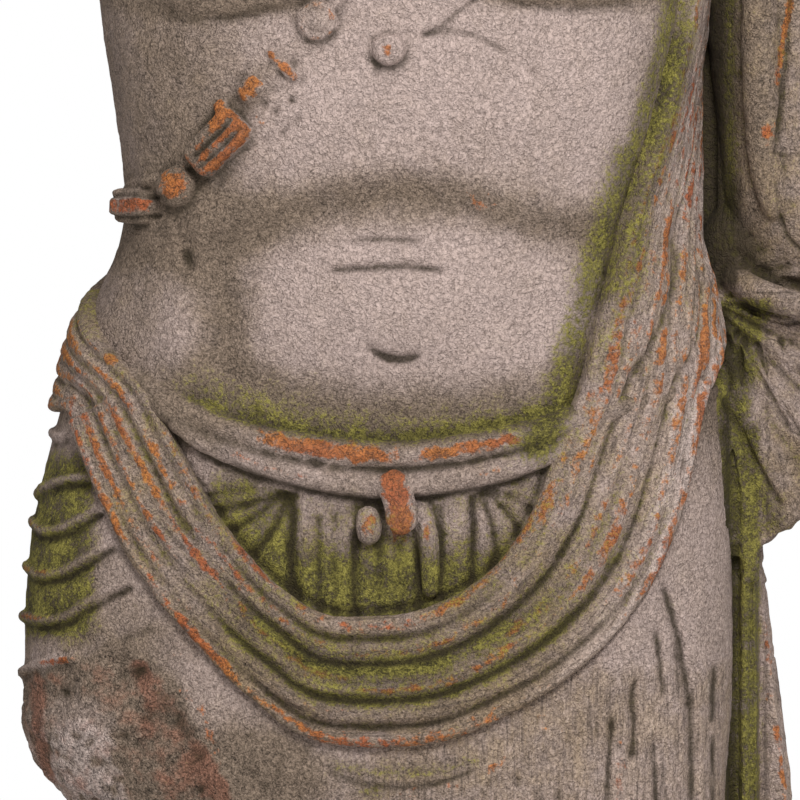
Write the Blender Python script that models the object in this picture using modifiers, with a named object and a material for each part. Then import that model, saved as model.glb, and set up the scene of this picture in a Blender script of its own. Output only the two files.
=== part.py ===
"""Male torso garden statue: one cast-stone fragment of a draped, headless figure on its own low base.

The figure faces -Y and stands on +Z, with the middle of the base's underside at the origin.
The pose and the carving are set out in grains, and one grain is 1/795 of the figure's height.
"""

import math

import bpy
import numpy as np

# Sizes in metres
FIGURE_HEIGHT = 0.795
BASE_WIDTH = 0.44
BASE_DEPTH = 0.28
BASE_HEIGHT = 0.045
BASE_BEVEL = 0.006
FIGURE_SHIFT = -0.042

# The carving's unit, how far the figure is rooted in the base, and how finely the solid is faceted
GRAIN = FIGURE_HEIGHT / 795
ROOT = 12
FACET = 3.2
FIGURE_TRIANGLES = 9600

# Body sections: height, left and right edge, front and back depth, squareness
BODY = (
    (-ROOT, -121, 176, 93, 92, 2.4),
    (96, -141, 179, 100, 95, 2.4),
    (151, -182, 182, 104, 97, 2.4),
    (184, -200, 184, 103, 99, 2.4),
    (234, -201, 186, 98, 102, 2.4),
    (289, -196, 185, 90, 104, 2.5),
    (344, -186, 182, 88, 100, 2.5),
    (371, -182, 179, 92, 97, 2.5),
    (393, -178, 175, 96, 94, 2.5),
    (432, -163, 164, 100, 88, 2.5),
    (465, -151, 152, 101, 83, 2.5),
    (481, -150, 151, 100, 82, 2.5),
    (536, -156, 156, 102, 88, 2.6),
    (591, -164, 164, 103, 94, 2.6),
    (635, -168, 168, 110, 96, 2.6),
    (657, -167, 168, 112, 93, 2.6),
    (679, -163, 168, 106, 87, 2.5),
    (701, -149, 162, 90, 78, 2.4),
    (718, -124, 140, 72, 68, 2.3),
    (732, -86, 100, 62, 60, 2.2),
    (743, -53, 58, 57, 56, 2.0),
    (760, -47, 47, 54, 54, 2.0),
    (795, -44, 45, 50, 51, 2.0),
)

# Underside of the ribs across the front
RIB_ARCH = ((-160, 452), (-108, 454), (-75, 464), (-36, 479), (0, 487), (35, 479), (74, 464), (160, 455))

# Scarf from the right shoulder down across the skirt to the left hip: inner edge x and z, outer edge x and z
SCARF_FRONT = (
    (160, 700, 192, 702),
    (163, 641, 183, 641),
    (162, 591, 175, 591),
    (152, 547, 172, 544),
    (126, 462, 169, 459),
    (115, 424, 175, 415),
    (103, 380, 170, 371),
    (88, 344, 162, 327),
    (73, 305, 142, 272),
    (52, 277, 112, 234),
    (24, 260, 68, 202),
    (-5, 253, 13, 182),
    (-34, 253, -36, 183),
    (-61, 267, -80, 208),
    (-86, 292, -116, 244),
    (-105, 318, -144, 279),
    (-123, 349, -164, 319),
    (-141, 380, -181, 358),
)

# The same scarf round the left hip and up the back: angle in degrees and height of its middle
SCARF_BACK = (
    (-92, 396),
    (-120, 416),
    (-150, 438),
    (-180, 472),
    (-208, 522),
    (-230, 582),
    (-246, 646),
    (-254, 704),
)
SCARF_HALF_WIDTH = 32
SCARF_LIFT = 6.0
SCARF_RIDGE = 9.0
SCARF_VALLEYS = (0.0, 0.17, 0.36, 0.58, 0.8, 1.0)

# Edge of the broken thigh at the figure's right: along its top, then down its inner side
BREAK_TOP = ((-215, 222), (-176, 231), (-157, 239), (-144, 234), (-127, 226), (-111, 210), (-84, 140))
BREAK_SIDE = ((-20, -76), (140, -84), (180, -98), (210, -111), (226, -127))

BELT_UPPER = ((-150, 384), (-119, 365), (-97, 355), (-53, 344), (2, 340), (57, 348), (98, 359), (150, 372))
BELT_LOWER = ((-150, 374), (-108, 349), (-80, 337), (-53, 329), (2, 323), (57, 331), (90, 343), (150, 358))

# Skirt pleats under the belt, each from its top to its foot
PLEATS = (
    (-53, 316, -47, 255),
    (-39, 314, -36, 251),
    (-24, 314, -22, 249),
    (-9, 314, -7, 247),
    (19, 314, 20, 248),
    (32, 315, 31, 254),
    (45, 316, 43, 264),
    (53, 320, 68, 280),
    (57, 322, 86, 304),
    (-59, 317, -67, 264),
    (-65, 318, -82, 278),
    (-69, 321, -95, 292),
    (-73, 325, -111, 312),
)

# Cloth folds wrapped round the left hip, each from the side to the front
HIP_FOLDS = (
    ((-196, 354), (-186, 351), (-170, 360)),
    ((-199, 308), (-184, 325), (-166, 336)),
    ((-203, 298), (-189, 302), (-175, 310), (-158, 323)),
    ((-207, 278), (-191, 278), (-178, 283), (-150, 300)),
    ((-209, 250), (-190, 252), (-177, 260), (-140, 280)),
    ((-209, 219), (-196, 226), (-170, 238), (-131, 258)),
)


def smooth(t):
    t = np.clip(t, 0.0, 1.0)
    return t * t * (3 - 2 * t)


def mound(x, z, cx, cz, rx, rz):
    """A low rounded rise, 1 at its middle and 0 at its edge."""
    return smooth(1 - np.sqrt(((x - cx) / rx) ** 2 + ((z - cz) / rz) ** 2))


def through(knots, at):
    """The smooth curve through rows of knots, whose first column is the place along it."""
    knots = np.asarray(knots, float)
    u, values = knots[:, 0], knots[:, 1:]
    slopes = np.gradient(values, u, axis=0)
    at = np.clip(np.asarray(at, float), u[0], u[-1])
    i = np.clip(np.searchsorted(u, at, side="right") - 1, 0, len(u) - 2)
    span = (u[i + 1] - u[i])[..., None]
    t = (at - u[i])[..., None] / span
    start = (1 + 2 * t) * (1 - t) ** 2 * values[i] + t * (1 - t) ** 2 * span * slopes[i]
    return start + t * t * (3 - 2 * t) * values[i + 1] + t * t * (t - 1) * span * slopes[i + 1]


def along(points, count):
    """Evenly spaced points on the smooth curve through the given ones."""
    points = np.asarray(points, float)
    steps = np.linalg.norm(np.diff(points, axis=0), axis=1)
    place = np.concatenate([[0.0], np.cumsum(steps)])
    return through(np.column_stack([place, points]), np.linspace(0, place[-1], count))


def front_relief(x, z):
    """How far the bare front stands out from its plain section."""
    rise = np.zeros(np.broadcast(x, z).shape)
    for side in (-94, 93):
        dome = 1 - ((x - side) / 76) ** 2 - ((z - 641) / 58) ** 2
        rise = rise + 12 * np.sqrt(np.clip(dome, 0, 1))
    arch = np.interp(x, [p[0] for p in RIB_ARCH], [p[1] for p in RIB_ARCH])
    rise = rise + 6 * smooth((z - arch + 4) / 20) * smooth((620 - z) / 60)
    rise = rise + 9 * mound(x, z, 0, 421, 100, 66)
    rise = rise + 5 * mound(x, z, -121, 403, 22, 48)
    rise = rise - 4 * mound(x, z, -94, 408, 16, 36)
    rise = rise - 6 * mound(x, z, -2, 393, 14, 6)
    return rise - 7 * smooth(thigh_break(x, z) / 7) + 3 * broken(x, z) * smooth(thigh_break(x, z) / 14)


def broken(x, z):
    """Lumps of a broken face, from -1 to 1."""
    lumps = np.sin(x * 0.19 + z * 0.11 + 1.3 * np.sin(z * 0.07)) * np.sin(z * 0.16 - x * 0.09)
    return 0.65 * lumps + 0.35 * np.sin(x * 0.41 + z * 0.37) * np.sin(z * 0.33 - x * 0.29)


def thigh_break(x, z):
    """How far inside the broken thigh's face a point of the front lies."""
    top = np.interp(x, [p[0] for p in BREAK_TOP], [p[1] for p in BREAK_TOP])
    side = np.interp(z, [p[0] for p in BREAK_SIDE], [p[1] for p in BREAK_SIDE])
    return np.minimum(top - z, (side - x) * 0.8)


def back_relief(x, z):
    """How far the back stands out: spine, shoulder blades, seat and the robe's long folds."""
    rise = -9 * np.exp(-((x / 13) ** 2)) * smooth((z - 400) / 60) * smooth((725 - z) / 40)
    for side in (-82, 82):
        rise = rise + 9 * mound(x, z, side, 610, 62, 90)
        rise = rise + 8 * mound(x, z, side, 290, 90, 80)
    folds = np.cos(x / 8.5 + 3.5 * np.sin(z / 110)) * smooth((330 - z) / 120)
    return rise + 3.2 * folds


def skin(angle, z, lift=0.0):
    """A point over the body: angle 0 is the front and 90 degrees the figure's left side, at +X."""
    left, right, front, back, square = np.moveaxis(through(BODY, z), -1, 0)
    middle, half = (left + right) / 2, (right - left) / 2
    s, c = np.sin(angle), np.cos(angle)
    depth = np.where(c > 0, front, back)
    x = middle + half * np.sign(s) * np.abs(s) ** (2 / square)
    y = -depth * np.sign(c) * np.abs(c) ** (2 / square)
    nx = np.sign(s) * np.abs(s) ** (2 - 2 / square) / half
    ny = -np.sign(c) * np.abs(c) ** (2 - 2 / square) / depth
    size = np.hypot(nx, ny)
    facing = smooth(np.abs(c) * 2.2)
    relief = np.where(c > 0, -front_relief(x, z), back_relief(x, z)) * facing
    return np.stack([x + nx / size * lift, y + ny / size * lift + relief, z + 0 * x], axis=-1)


def angle_at(x, z, lift=0.0):
    """The angle on the front half at which a point of this lift is seen at x."""
    left, right, front, back, square = np.moveaxis(through(BODY, z), -1, 0)
    middle, half = (left + right) / 2, (right - left) / 2
    aim = np.asarray(x, float)
    for _ in range(8):
        share = np.clip((aim - middle) / half, -0.9995, 0.9995)
        angle = np.arcsin(np.sign(share) * np.abs(share) ** (square / 2))
        aim = aim + x - skin(angle, z, lift)[..., 0]
    return angle


def object_from(name, vertices, faces):
    mesh = bpy.data.meshes.new(name)
    mesh.from_pydata([tuple(v) for v in np.asarray(vertices) * GRAIN], [], faces)
    made = bpy.data.objects.new(name, mesh)
    bpy.context.scene.collection.objects.link(made)
    return made


def loft(name, rings):
    """A closed solid through rings of equal point counts."""
    rings = np.asarray(rings, float)
    rows, count = rings.shape[:2]
    faces = []
    for r in range(rows - 1):
        for k in range(count):
            a, b = r * count + k, r * count + (k + 1) % count
            faces.append((a, b, b + count, a + count))
    faces.append(tuple(reversed(range(count))))
    faces.append(tuple((rows - 1) * count + k for k in range(count)))
    return object_from(name, rings.reshape(-1, 3), faces)


def roll(name, points, radii):
    """A round roll of the given radii along a smooth curve."""
    count = max(8, 6 * len(points))
    path = along(points, count)
    sizes = np.interp(np.linspace(0, 1, count), np.linspace(0, 1, len(radii)), radii)
    curve = bpy.data.curves.new(name, "CURVE")
    curve.dimensions = "3D"
    curve.bevel_depth = GRAIN
    curve.bevel_resolution = 3
    curve.use_fill_caps = True
    spline = curve.splines.new("POLY")
    spline.points.add(count - 1)
    for point, place, size in zip(spline.points, path * GRAIN, sizes):
        point.co = (*place, 1.0)
        point.radius = size
    holder = bpy.data.objects.new(name, curve)
    bpy.context.scene.collection.objects.link(holder)
    bpy.context.view_layer.update()
    mesh = bpy.data.meshes.new_from_object(holder.evaluated_get(bpy.context.evaluated_depsgraph_get()))
    bpy.data.objects.remove(holder)
    made = bpy.data.objects.new(name, mesh)
    bpy.context.scene.collection.objects.link(made)
    return made


def laid_roll(name, points, radii, lift=0.0, swing=()):
    """A roll that lies on the front of the body, its points given as seen from the front."""
    points = np.asarray(points, float)
    angles = angle_at(points[:, 0], points[:, 1], lift)
    way = np.column_stack([angles, points[:, 1]])
    if len(swing):
        way = np.vstack([way, swing])
    return roll(name, skin(way[:, 0], way[:, 1], lift), radii)


def block(name, centre, size, tilt, bevel, lift):
    """A small bevelled block laid on the body, turned by tilt in the plane of its face."""
    x, z = centre
    angle = angle_at(np.array([x]), np.array([z]), lift)[0]
    bpy.ops.mesh.primitive_cube_add(size=1)
    made = bpy.context.object
    made.name = name
    made.scale = (size[0] * GRAIN, size[1] * GRAIN, size[2] * GRAIN)
    made.rotation_euler = (0, -math.radians(tilt), angle * 0.8)
    made.location = skin(angle, np.array(z, float), lift) * GRAIN
    rounding = made.modifiers.new("rounding", "BEVEL")
    rounding.width = bevel * GRAIN
    rounding.segments = 3
    return made


def ball(name, centre, radii, lift):
    x, z = centre
    angle = angle_at(np.array([x]), np.array([z]), lift)[0]
    bpy.ops.mesh.primitive_uv_sphere_add(segments=24, ring_count=14, radius=1)
    made = bpy.context.object
    made.name = name
    made.scale = (radii[0] * GRAIN, radii[1] * GRAIN, radii[2] * GRAIN)
    made.location = skin(angle, np.array(z, float), lift) * GRAIN
    return made


for old in list(bpy.data.objects):
    bpy.data.objects.remove(old)

pieces = []

# Body, from its root in the base to the broken neck
turns = np.radians(np.arange(0, 360, 3.0))
heights = np.arange(-ROOT, 786.0, 3.0)
rings = [skin(turns, np.full(turns.shape, float(h))) for h in heights]
top = rings[-1]
heart = top.mean(axis=0)
for size, rise in ((0.96, 3.0), (0.72, 4.0), (0.42, 4.0), (0.14, 4.0)):
    ring = heart + (top - heart) * size
    ring[:, 2] += rise - 6 * size * np.cos(turns - 0.7) + 3 * broken(ring[:, 0] * 1.6, ring[:, 1] * 1.6)
    rings.append(ring)
rings[-1][:, 2] = 795
pieces.append(loft("body", rings))

# Scarf
front = np.array(SCARF_FRONT, float)
inner = np.column_stack([angle_at(front[:, 0], front[:, 1], SCARF_LIFT), front[:, 1]])
outer = np.column_stack([angle_at(front[:, 2], front[:, 3], SCARF_LIFT), front[:, 3]])
outer[:5, 0] = np.maximum(outer[:5, 0], math.radians(96))
middle = np.array([(math.radians(a), z) for a, z in SCARF_BACK])
slope = np.gradient(middle * (115, 1), axis=0)
slope = slope / np.linalg.norm(slope, axis=1)[:, None]
aside = np.column_stack([-slope[:, 1] / 115, slope[:, 0]]) * SCARF_HALF_WIDTH
inner = np.vstack([inner, middle - aside])
outer = np.vstack([outer, middle + aside])
edges = along(np.column_stack([inner[:, 0] * 115, inner[:, 1], outer[:, 0] * 115, outer[:, 1]]), 260)
across = np.linspace(0, 1, 43)
valley = np.clip(np.searchsorted(SCARF_VALLEYS, across, side="right") - 1, 0, len(SCARF_VALLEYS) - 2)
start = np.take(SCARF_VALLEYS, valley)
width = np.take(SCARF_VALLEYS, valley + 1) - start
share = (across - start) / width
ridges = SCARF_RIDGE * np.clip(4 * share * (1 - share), 0, 1) ** 0.6 * np.clip(width / 0.16, 0.7, 1)
under = np.linspace(1, 0, 9)
rings = []
for a_in, z_in, a_out, z_out in edges:
    top = skin((a_in + (a_out - a_in) * across) / 115, z_in + (z_out - z_in) * across, SCARF_LIFT + ridges)
    low = skin((a_in + (a_out - a_in) * under) / 115, z_in + (z_out - z_in) * under, -7.0)
    rings.append(np.vstack([top, low]))
pieces.append(loft("scarf", rings))

# Folds of the scarf carried over the shoulder
for x, up in ((136, 4), (148, 3), (160, 1), (172, -3), (184, -9), (195, -17)):
    foot = 165 + (x - 165) * 0.5
    over = ((foot, -46, 636), (x, -47, 684 + up / 2), (x, -26, 706 + up), (x, 6, 713 + up))
    over = over + ((x, 38, 704 + up), (x - 4, 58, 684 + up / 2), (foot - 10, 72, 640))
    pieces.append(roll("shoulder fold", over, (5, 7, 8, 8, 8, 7, 5)))

# Long folds of the robe down the back of the arm's side
for k in range(6):
    x = 112 + 17 * k
    sway = 3 * math.sin(2.1 * k)
    hang = ((x, 76 - 3 * k, 694 - 5 * k), (x + sway, 82 - 4 * k, 600), (x + 2, 84 - 4 * k, 460))
    hang = hang + ((x + 4 - sway, 88 - 3 * k, 300), (x + 8, 86 - 3 * k, 140), (x + 8 + sway, 80 - 3 * k, -10))
    pieces.append(roll("back fold", hang, (8, 11, 11, 11, 12, 12)))

# Belt of two rolls, carried round the back, with its knot
behind = [(math.radians(a), z) for a, z in ((112, 368), (150, 358), (180, 354), (210, 360), (240, 372))]
pieces.append(laid_roll("upper belt", BELT_UPPER, (6.6, 6.6), 2.0, behind))
pieces.append(laid_roll("lower belt", BELT_LOWER, (7.6, 7.6), 2.5))
pieces.append(laid_roll("knot", ((-4, 334), (-2, 322), (2, 308), (3, 296)), (6, 8, 8, 8), 9.0))
pieces.append(ball("knot end", (-15, 286), (5, 5, 9), 6.0))
pieces.append(laid_roll("knot tail", ((13, 318), (16, 300), (18, 268)), (4, 5, 4), 3.0))

# Skirt pleats
for x_top, z_top, x_foot, z_foot in PLEATS:
    half_way = ((x_top + x_foot) / 2, (z_top + z_foot) / 2)
    pieces.append(laid_roll("pleat", ((x_top, z_top), half_way, (x_foot, z_foot)), (2.6, 4.4, 5.0), 0.5))

# Folds round the left hip, carried on behind
for fold in HIP_FOLDS:
    z = fold[0][1]
    away = [(math.radians(a), z + drop) for a, drop in ((-150, -10), (-125, -8), (-105, -3))]
    way = [(angle_at(np.array([float(x)]), np.array([float(h)]), 2.0)[0], float(h)) for x, h in fold]
    way = np.array(away + way)
    pieces.append(roll("hip fold", skin(way[:, 0], way[:, 1], 2.0), (3, 5, 5.5, 4.6, 3)))

# Broad soft folds of the robe under the scarf and down its right side
robe_folds = (
    ((146, 262), (135, 232), (118, 200), (88, 185), (60, 176), (2, 164), (-30, 168)),
    ((120, 262), (128, 200), (132, 150), (134, 96), (136, -10)),
    ((163, 262), (168, 225), (170, 190), (171, 140), (171, 60), (170, -10)),
    ((92, 190), (100, 150), (104, 96), (106, 40), (108, -10)),
)
for fold in robe_folds:
    pieces.append(laid_roll("robe fold", fold, (5, 6, 7, 7, 6), -1.5))

# Amulet string across the chest
pieces.append(block("amulet", (-146, 478), (28, 14, 19), -8, 4, 4.0))
pieces.append(block("amulet", (-98, 512), (38, 15, 22), 42, 5, 5.0))
pieces.append(ball("bead", (-121, 487), (12, 10, 11), 4.0))
pieces.append(block("amulet", (-82, 540), (16, 10, 14), 42, 4, 3.0))
pieces.append(block("amulet", (-62, 552), (20, 8, 9), -42, 3, 2.5))
pieces.append(ball("bead", (-44, 577), (13, 8, 13), 3.0))
pieces.append(ball("pendant", (0, 562), (12, 8, 9), 3.0))
cord = ((-160, 484), (-121, 497), (-98, 520), (-70, 545), (-44, 577), (4, 628), (60, 684), (112, 716))
pieces.append(laid_roll("cord", cord, (4.4, 4.4), 1.5))

# Right shoulder and upper arm under the robe, bent at the elbow
arm = ((60, 2, 712), (120, 2, 694), (178, 4, 668), (208, 6, 620), (216, 8, 560), (220, 8, 505))
arm = arm + ((222, 6, 468), (218, 10, 434))
pieces.append(roll("right arm", arm, (26, 34, 44, 46, 43, 41, 41, 30)))
pieces.append(roll("sleeve fold", ((196, -34, 676), (199, -38, 600), (199, -36, 540), (202, -34, 480)), (5, 8, 9, 7)))
pieces.append(roll("sleeve fold", ((216, -38, 660), (219, -41, 590), (213, -38, 520), (222, -37, 470)), (3, 5, 5, 3)))
pieces.append(roll("elbow fold", ((182, -8, 440), (200, -26, 432), (222, -36, 424), (252, -22, 430)), (7, 9, 8, 6)))

# Left shoulder, broken off below
stump = ((-60, 2, 712), (-110, 2, 696), (-148, 2, 676), (-160, 2, 650), (-164, 2, 630))
pieces.append(roll("left shoulder", stump, (26, 38, 44, 42, 39)))

# Hanging sleeve below the elbow, its foot broken off aslant
rings = []
for share in np.linspace(0, 1, 40):
    z = 482 - share * 192
    narrow = 14 * (1 - min(1, share * 7)) ** 2
    half_x, half_y = 47 - narrow, 36 - 6 * share - narrow
    x = 214 + half_x * np.sign(np.sin(turns)) * np.abs(np.sin(turns)) ** 0.8
    y = 16 - half_y * np.sign(np.cos(turns)) * np.abs(np.cos(turns)) ** 0.8
    z = z + share * np.clip(x - 200, -20, 60) * 0.62
    spoke = np.arctan2(426 - z, x - 170)
    y = y + 3.2 * np.cos(spoke * 17) * smooth(share * 6 - 0.6) * np.sign(y - 16)
    rings.append(np.column_stack([x, y, z]))
pieces.append(loft("hanging sleeve", rings))

# Cloth joining the arm to the side, and the robe's cascade of folds below it
web = ((120, 14), (196, 14), (214, 30), (192, 58), (120, 66))
pieces.append(loft("web", [[(x, y, z) for x, y in web] for z in (300, 680)]))
pieces.append(roll("deep fold", ((182, 8, 670), (183, 6, 560), (182, 4, 440)), (5, 5, 5)))
rings = []
for z in np.linspace(-ROOT, 470, 30):
    out = np.interp(z, [0, 151, 289, 470], [225, 216, 201, 198])
    ridge = np.interp(z, [0, 316, 371], [198, 197, 186])
    plan = ((120, -30), (182, -14), (188, 6), (ridge - 4, -6), (ridge + 4, -4), (ridge + 6, 14), (out - 4, 10))
    plan = plan + ((out, 22), (out - 3, 36), (out - 12, 46), (out - 26, 52), (150, 56), (120, 50))
    rings.append([(x, y, z) for x, y in plan])
pieces.append(loft("cascade", rings))

# All of the carving fused into one solid and faceted evenly
graph = bpy.context.evaluated_depsgraph_get()
vertices, faces, first = [], [], 0
for piece in pieces:
    shape = piece.evaluated_get(graph)
    mesh = shape.to_mesh()
    placed = [piece.matrix_world @ v.co for v in mesh.vertices]
    vertices.extend(tuple(p) for p in placed)
    faces.extend(tuple(first + i for i in polygon.vertices) for polygon in mesh.polygons)
    first += len(placed)
    shape.to_mesh_clear()
for piece in pieces:
    bpy.data.objects.remove(piece)

mesh = bpy.data.meshes.new("torso_statue")
mesh.from_pydata(vertices, [], faces)
statue = bpy.data.objects.new("torso_statue", mesh)
bpy.context.scene.collection.objects.link(statue)
fuse = statue.modifiers.new("fuse", "REMESH")
fuse.mode = "VOXEL"
fuse.voxel_size = FACET * GRAIN
bpy.context.view_layer.update()
fused = statue.evaluated_get(bpy.context.evaluated_depsgraph_get()).to_mesh()
triangles = sum(len(polygon.vertices) - 2 for polygon in fused.polygons)
statue.evaluated_get(bpy.context.evaluated_depsgraph_get()).to_mesh_clear()
facet = statue.modifiers.new("facet", "DECIMATE")
facet.ratio = FIGURE_TRIANGLES / triangles
statue.location = (FIGURE_SHIFT, 0, BASE_HEIGHT)

# Low base, cast with the figure
bpy.ops.mesh.primitive_cube_add(size=1, location=(0, 0, BASE_HEIGHT / 2))
base = bpy.context.object
base.name = "base_block"
base.scale = (BASE_WIDTH, BASE_DEPTH, BASE_HEIGHT)
bpy.context.view_layer.update()
base.data.transform(base.matrix_world)
base.matrix_world.identity()
edge = base.modifiers.new("edge", "BEVEL")
edge.width = BASE_BEVEL
edge.segments = 2
base.display_type = "WIRE"
base.hide_render = True
join = statue.modifiers.new("join", "BOOLEAN")
join.operation = "UNION"
join.solver = "EXACT"
join.object = base

stone = bpy.data.materials.new("cast_stone")
stone.use_nodes = True
shader = stone.node_tree.nodes["Principled BSDF"]
shader.inputs["Base Color"].default_value = (0.30, 0.25, 0.22, 1)
shader.inputs["Roughness"].default_value = 0.92
statue.data.materials.append(stone)
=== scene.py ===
"""Weathered cast-stone garden statue: the broken torso of a draped man, dressed for its portrait.

The carving is set out in millimetres in the figure's own frame. There z is 0 on top of the base, x is 0 on
the navel's line and -y is the way the figure faces.
"""

import math

import bpy
import numpy as np
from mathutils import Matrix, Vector, kdtree


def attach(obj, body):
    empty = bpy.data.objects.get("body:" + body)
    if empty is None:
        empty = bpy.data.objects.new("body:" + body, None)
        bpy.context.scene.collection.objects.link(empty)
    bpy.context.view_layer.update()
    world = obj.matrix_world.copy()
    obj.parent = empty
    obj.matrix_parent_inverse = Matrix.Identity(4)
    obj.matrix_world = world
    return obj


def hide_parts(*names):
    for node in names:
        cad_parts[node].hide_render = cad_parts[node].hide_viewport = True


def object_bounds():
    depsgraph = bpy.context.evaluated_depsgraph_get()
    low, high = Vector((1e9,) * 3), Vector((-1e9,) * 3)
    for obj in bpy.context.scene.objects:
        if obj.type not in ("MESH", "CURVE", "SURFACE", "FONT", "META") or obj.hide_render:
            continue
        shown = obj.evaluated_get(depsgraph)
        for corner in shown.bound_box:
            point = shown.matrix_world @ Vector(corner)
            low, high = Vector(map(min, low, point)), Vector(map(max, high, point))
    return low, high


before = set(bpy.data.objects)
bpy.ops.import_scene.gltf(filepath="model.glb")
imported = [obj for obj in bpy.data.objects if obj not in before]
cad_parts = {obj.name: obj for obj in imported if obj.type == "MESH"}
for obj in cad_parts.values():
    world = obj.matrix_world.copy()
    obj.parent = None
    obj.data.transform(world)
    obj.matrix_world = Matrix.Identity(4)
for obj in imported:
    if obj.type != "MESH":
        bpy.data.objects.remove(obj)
cad_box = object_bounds()

# The bare torso: neck stump, chest, ribs and belly of one hollow casting, pressed in a mould and then
# aged with grit, grime and moss. Everything carved on it below is part of the same casting.
FOOT = np.array((-0.042, 0.0, 0.045))
MM = 0.001
CELL = 1.25
# How far the figure runs down into the base, and how far the skin stays inside the CAD box, in metres
ROOT = 12
INSIDE = 0.0002

# Height, right and left edge as seen, front and back depth, squareness
BODY = (
    (-ROOT, -121, 176, 93, 92, 2.4),
    (96, -141, 179, 100, 95, 2.4),
    (151, -182, 182, 104, 97, 2.4),
    (184, -203, 184, 103, 99, 2.4),
    (234, -205, 186, 98, 102, 2.4),
    (289, -202, 185, 90, 104, 2.5),
    (344, -191, 182, 88, 100, 2.5),
    (371, -184, 179, 92, 97, 2.5),
    (393, -178, 175, 96, 94, 2.5),
    (432, -163, 164, 100, 88, 2.5),
    (465, -151, 152, 101, 83, 2.5),
    (481, -150, 151, 100, 82, 2.5),
    (536, -156, 156, 102, 88, 2.6),
    (591, -164, 164, 103, 94, 2.6),
    (635, -168, 168, 110, 96, 2.6),
    (657, -167, 168, 112, 93, 2.6),
    (679, -163, 168, 106, 87, 2.5),
    (701, -149, 162, 90, 78, 2.4),
    (718, -124, 140, 72, 68, 2.3),
    (732, -86, 100, 62, 60, 2.2),
    (743, -53, 58, 57, 56, 2.0),
    (760, -47, 47, 54, 54, 2.0),
    (794, -44, 45, 50, 51, 2.0),
)
RIB_ARCH = ((-160, 452), (-108, 454), (-75, 464), (-36, 479), (0, 487), (35, 479), (74, 464), (160, 455))


def smooth(t):
    t = np.clip(t, 0.0, 1.0)
    return t * t * (3 - 2 * t)


def mound(x, z, cx, cz, rx, rz):
    """A low rounded rise, 1 at its middle and 0 at its edge."""
    return smooth(1 - np.sqrt(((x - cx) / rx) ** 2 + ((z - cz) / rz) ** 2))


def through(knots, at):
    """The smooth curve through rows of knots, whose first column is the place along it."""
    knots = np.asarray(knots, float)
    u, values = knots[:, 0], knots[:, 1:]
    slopes = np.gradient(values, u, axis=0)
    at = np.clip(np.asarray(at, float), u[0], u[-1])
    i = np.clip(np.searchsorted(u, at, side="right") - 1, 0, len(u) - 2)
    span = (u[i + 1] - u[i])[..., None]
    t = (at - u[i])[..., None] / span
    start = (1 + 2 * t) * (1 - t) ** 2 * values[i] + t * (1 - t) ** 2 * span * slopes[i]
    return start + t * t * (3 - 2 * t) * values[i + 1] + t * t * (t - 1) * span * slopes[i + 1]


def along(points, count):
    """Evenly spaced points on the smooth curve through the given ones."""
    points = np.asarray(points, float)
    steps = np.linalg.norm(np.diff(points, axis=0), axis=1)
    place = np.concatenate([[0.0], np.cumsum(steps)])
    return through(np.column_stack([place, points]), np.linspace(0, place[-1], count))


def near(x, z, line, reach):
    """1 on a line drawn over the front, falling to 0 at the given reach from it."""
    x, z = np.broadcast_arrays(np.asarray(x, float), np.asarray(z, float))
    line = along(line, 4 * len(line)) if len(line) > 2 else np.asarray(line, float)
    best = np.full(x.shape, 1e9)
    for (ax, az), (bx, bz) in zip(line[:-1], line[1:]):
        dx, dz = bx - ax, bz - az
        t = np.clip(((x - ax) * dx + (z - az) * dz) / (dx * dx + dz * dz + 1e-9), 0, 1)
        best = np.minimum(best, (x - ax - t * dx) ** 2 + (z - az - t * dz) ** 2)
    return smooth(1 - np.sqrt(best) / reach)


def height_on(line, at):
    """How high a drawn line runs at each place, its points given from one end to the other."""
    return np.interp(at, [point[0] for point in line], [point[1] for point in line])


def shifted(line, across, up):
    return [(x + across, z + up) for x, z in line]


def grit(points, size, seed):
    """Smooth chance values from -1 to 1 with grains of the given size, the same on every run."""
    q = np.asarray(points, float) / size + seed * 17.37
    cell = np.floor(q).astype(np.int64)
    f = smooth(q - cell)
    total = np.zeros(len(q))
    for k in range(8):
        step = np.array((k & 1, k >> 1 & 1, k >> 2 & 1))
        corner = (cell + step) * (73856093, 19349663, 83492791)
        mixed = corner[:, 0] ^ corner[:, 1] ^ corner[:, 2]
        mixed = (mixed ^ (mixed >> 13)) * 1274126177
        value = ((mixed ^ (mixed >> 16)) & 0xFFFF) / 32767.5 - 1
        total += value * np.prod(np.where(step, f, 1 - f), axis=1)
    return total


def bare_front(x, z):
    rise = np.zeros(np.broadcast(x, z).shape)
    for side, foot in ((-94, 0), (93, 5)):
        dome = 1 - ((x - side) / 76) ** 2 - ((z - 641) / (60 - foot)) ** 2
        rise = rise + 13 * np.clip(dome, 0, 1) ** 0.5
    arch = height_on(RIB_ARCH, x)
    rise = rise + 8 * smooth((z - arch + 6) / 20) * smooth((620 - z) / 60)
    rise = rise + 9 * mound(x, z, 0, 421, 100, 66)
    rise = rise + 5 * mound(x, z, -121, 403, 22, 48)
    rise = rise - 4 * mound(x, z, -94, 408, 16, 36)
    rise = rise - 3 * near(x, z, ((-119, 470), (-116, 459), (-113, 444)), 7)
    rise = rise - 3.6 * near(x, z, ((-14, 399), (-8, 395), (-2, 393), (6, 393), (11, 395)), 5)
    rise = rise - 3.0 * mound(x, z, -2, 396, 13, 7)
    rise = rise - 2.0 * near(x, z, ((-24, 458), (-6, 459), (13, 458)), 3.6)
    rise = rise - 2.6 * near(x, z, ((-34, 442), (-14, 443), (5, 444), (24, 442)), 4.4)
    return rise


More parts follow.
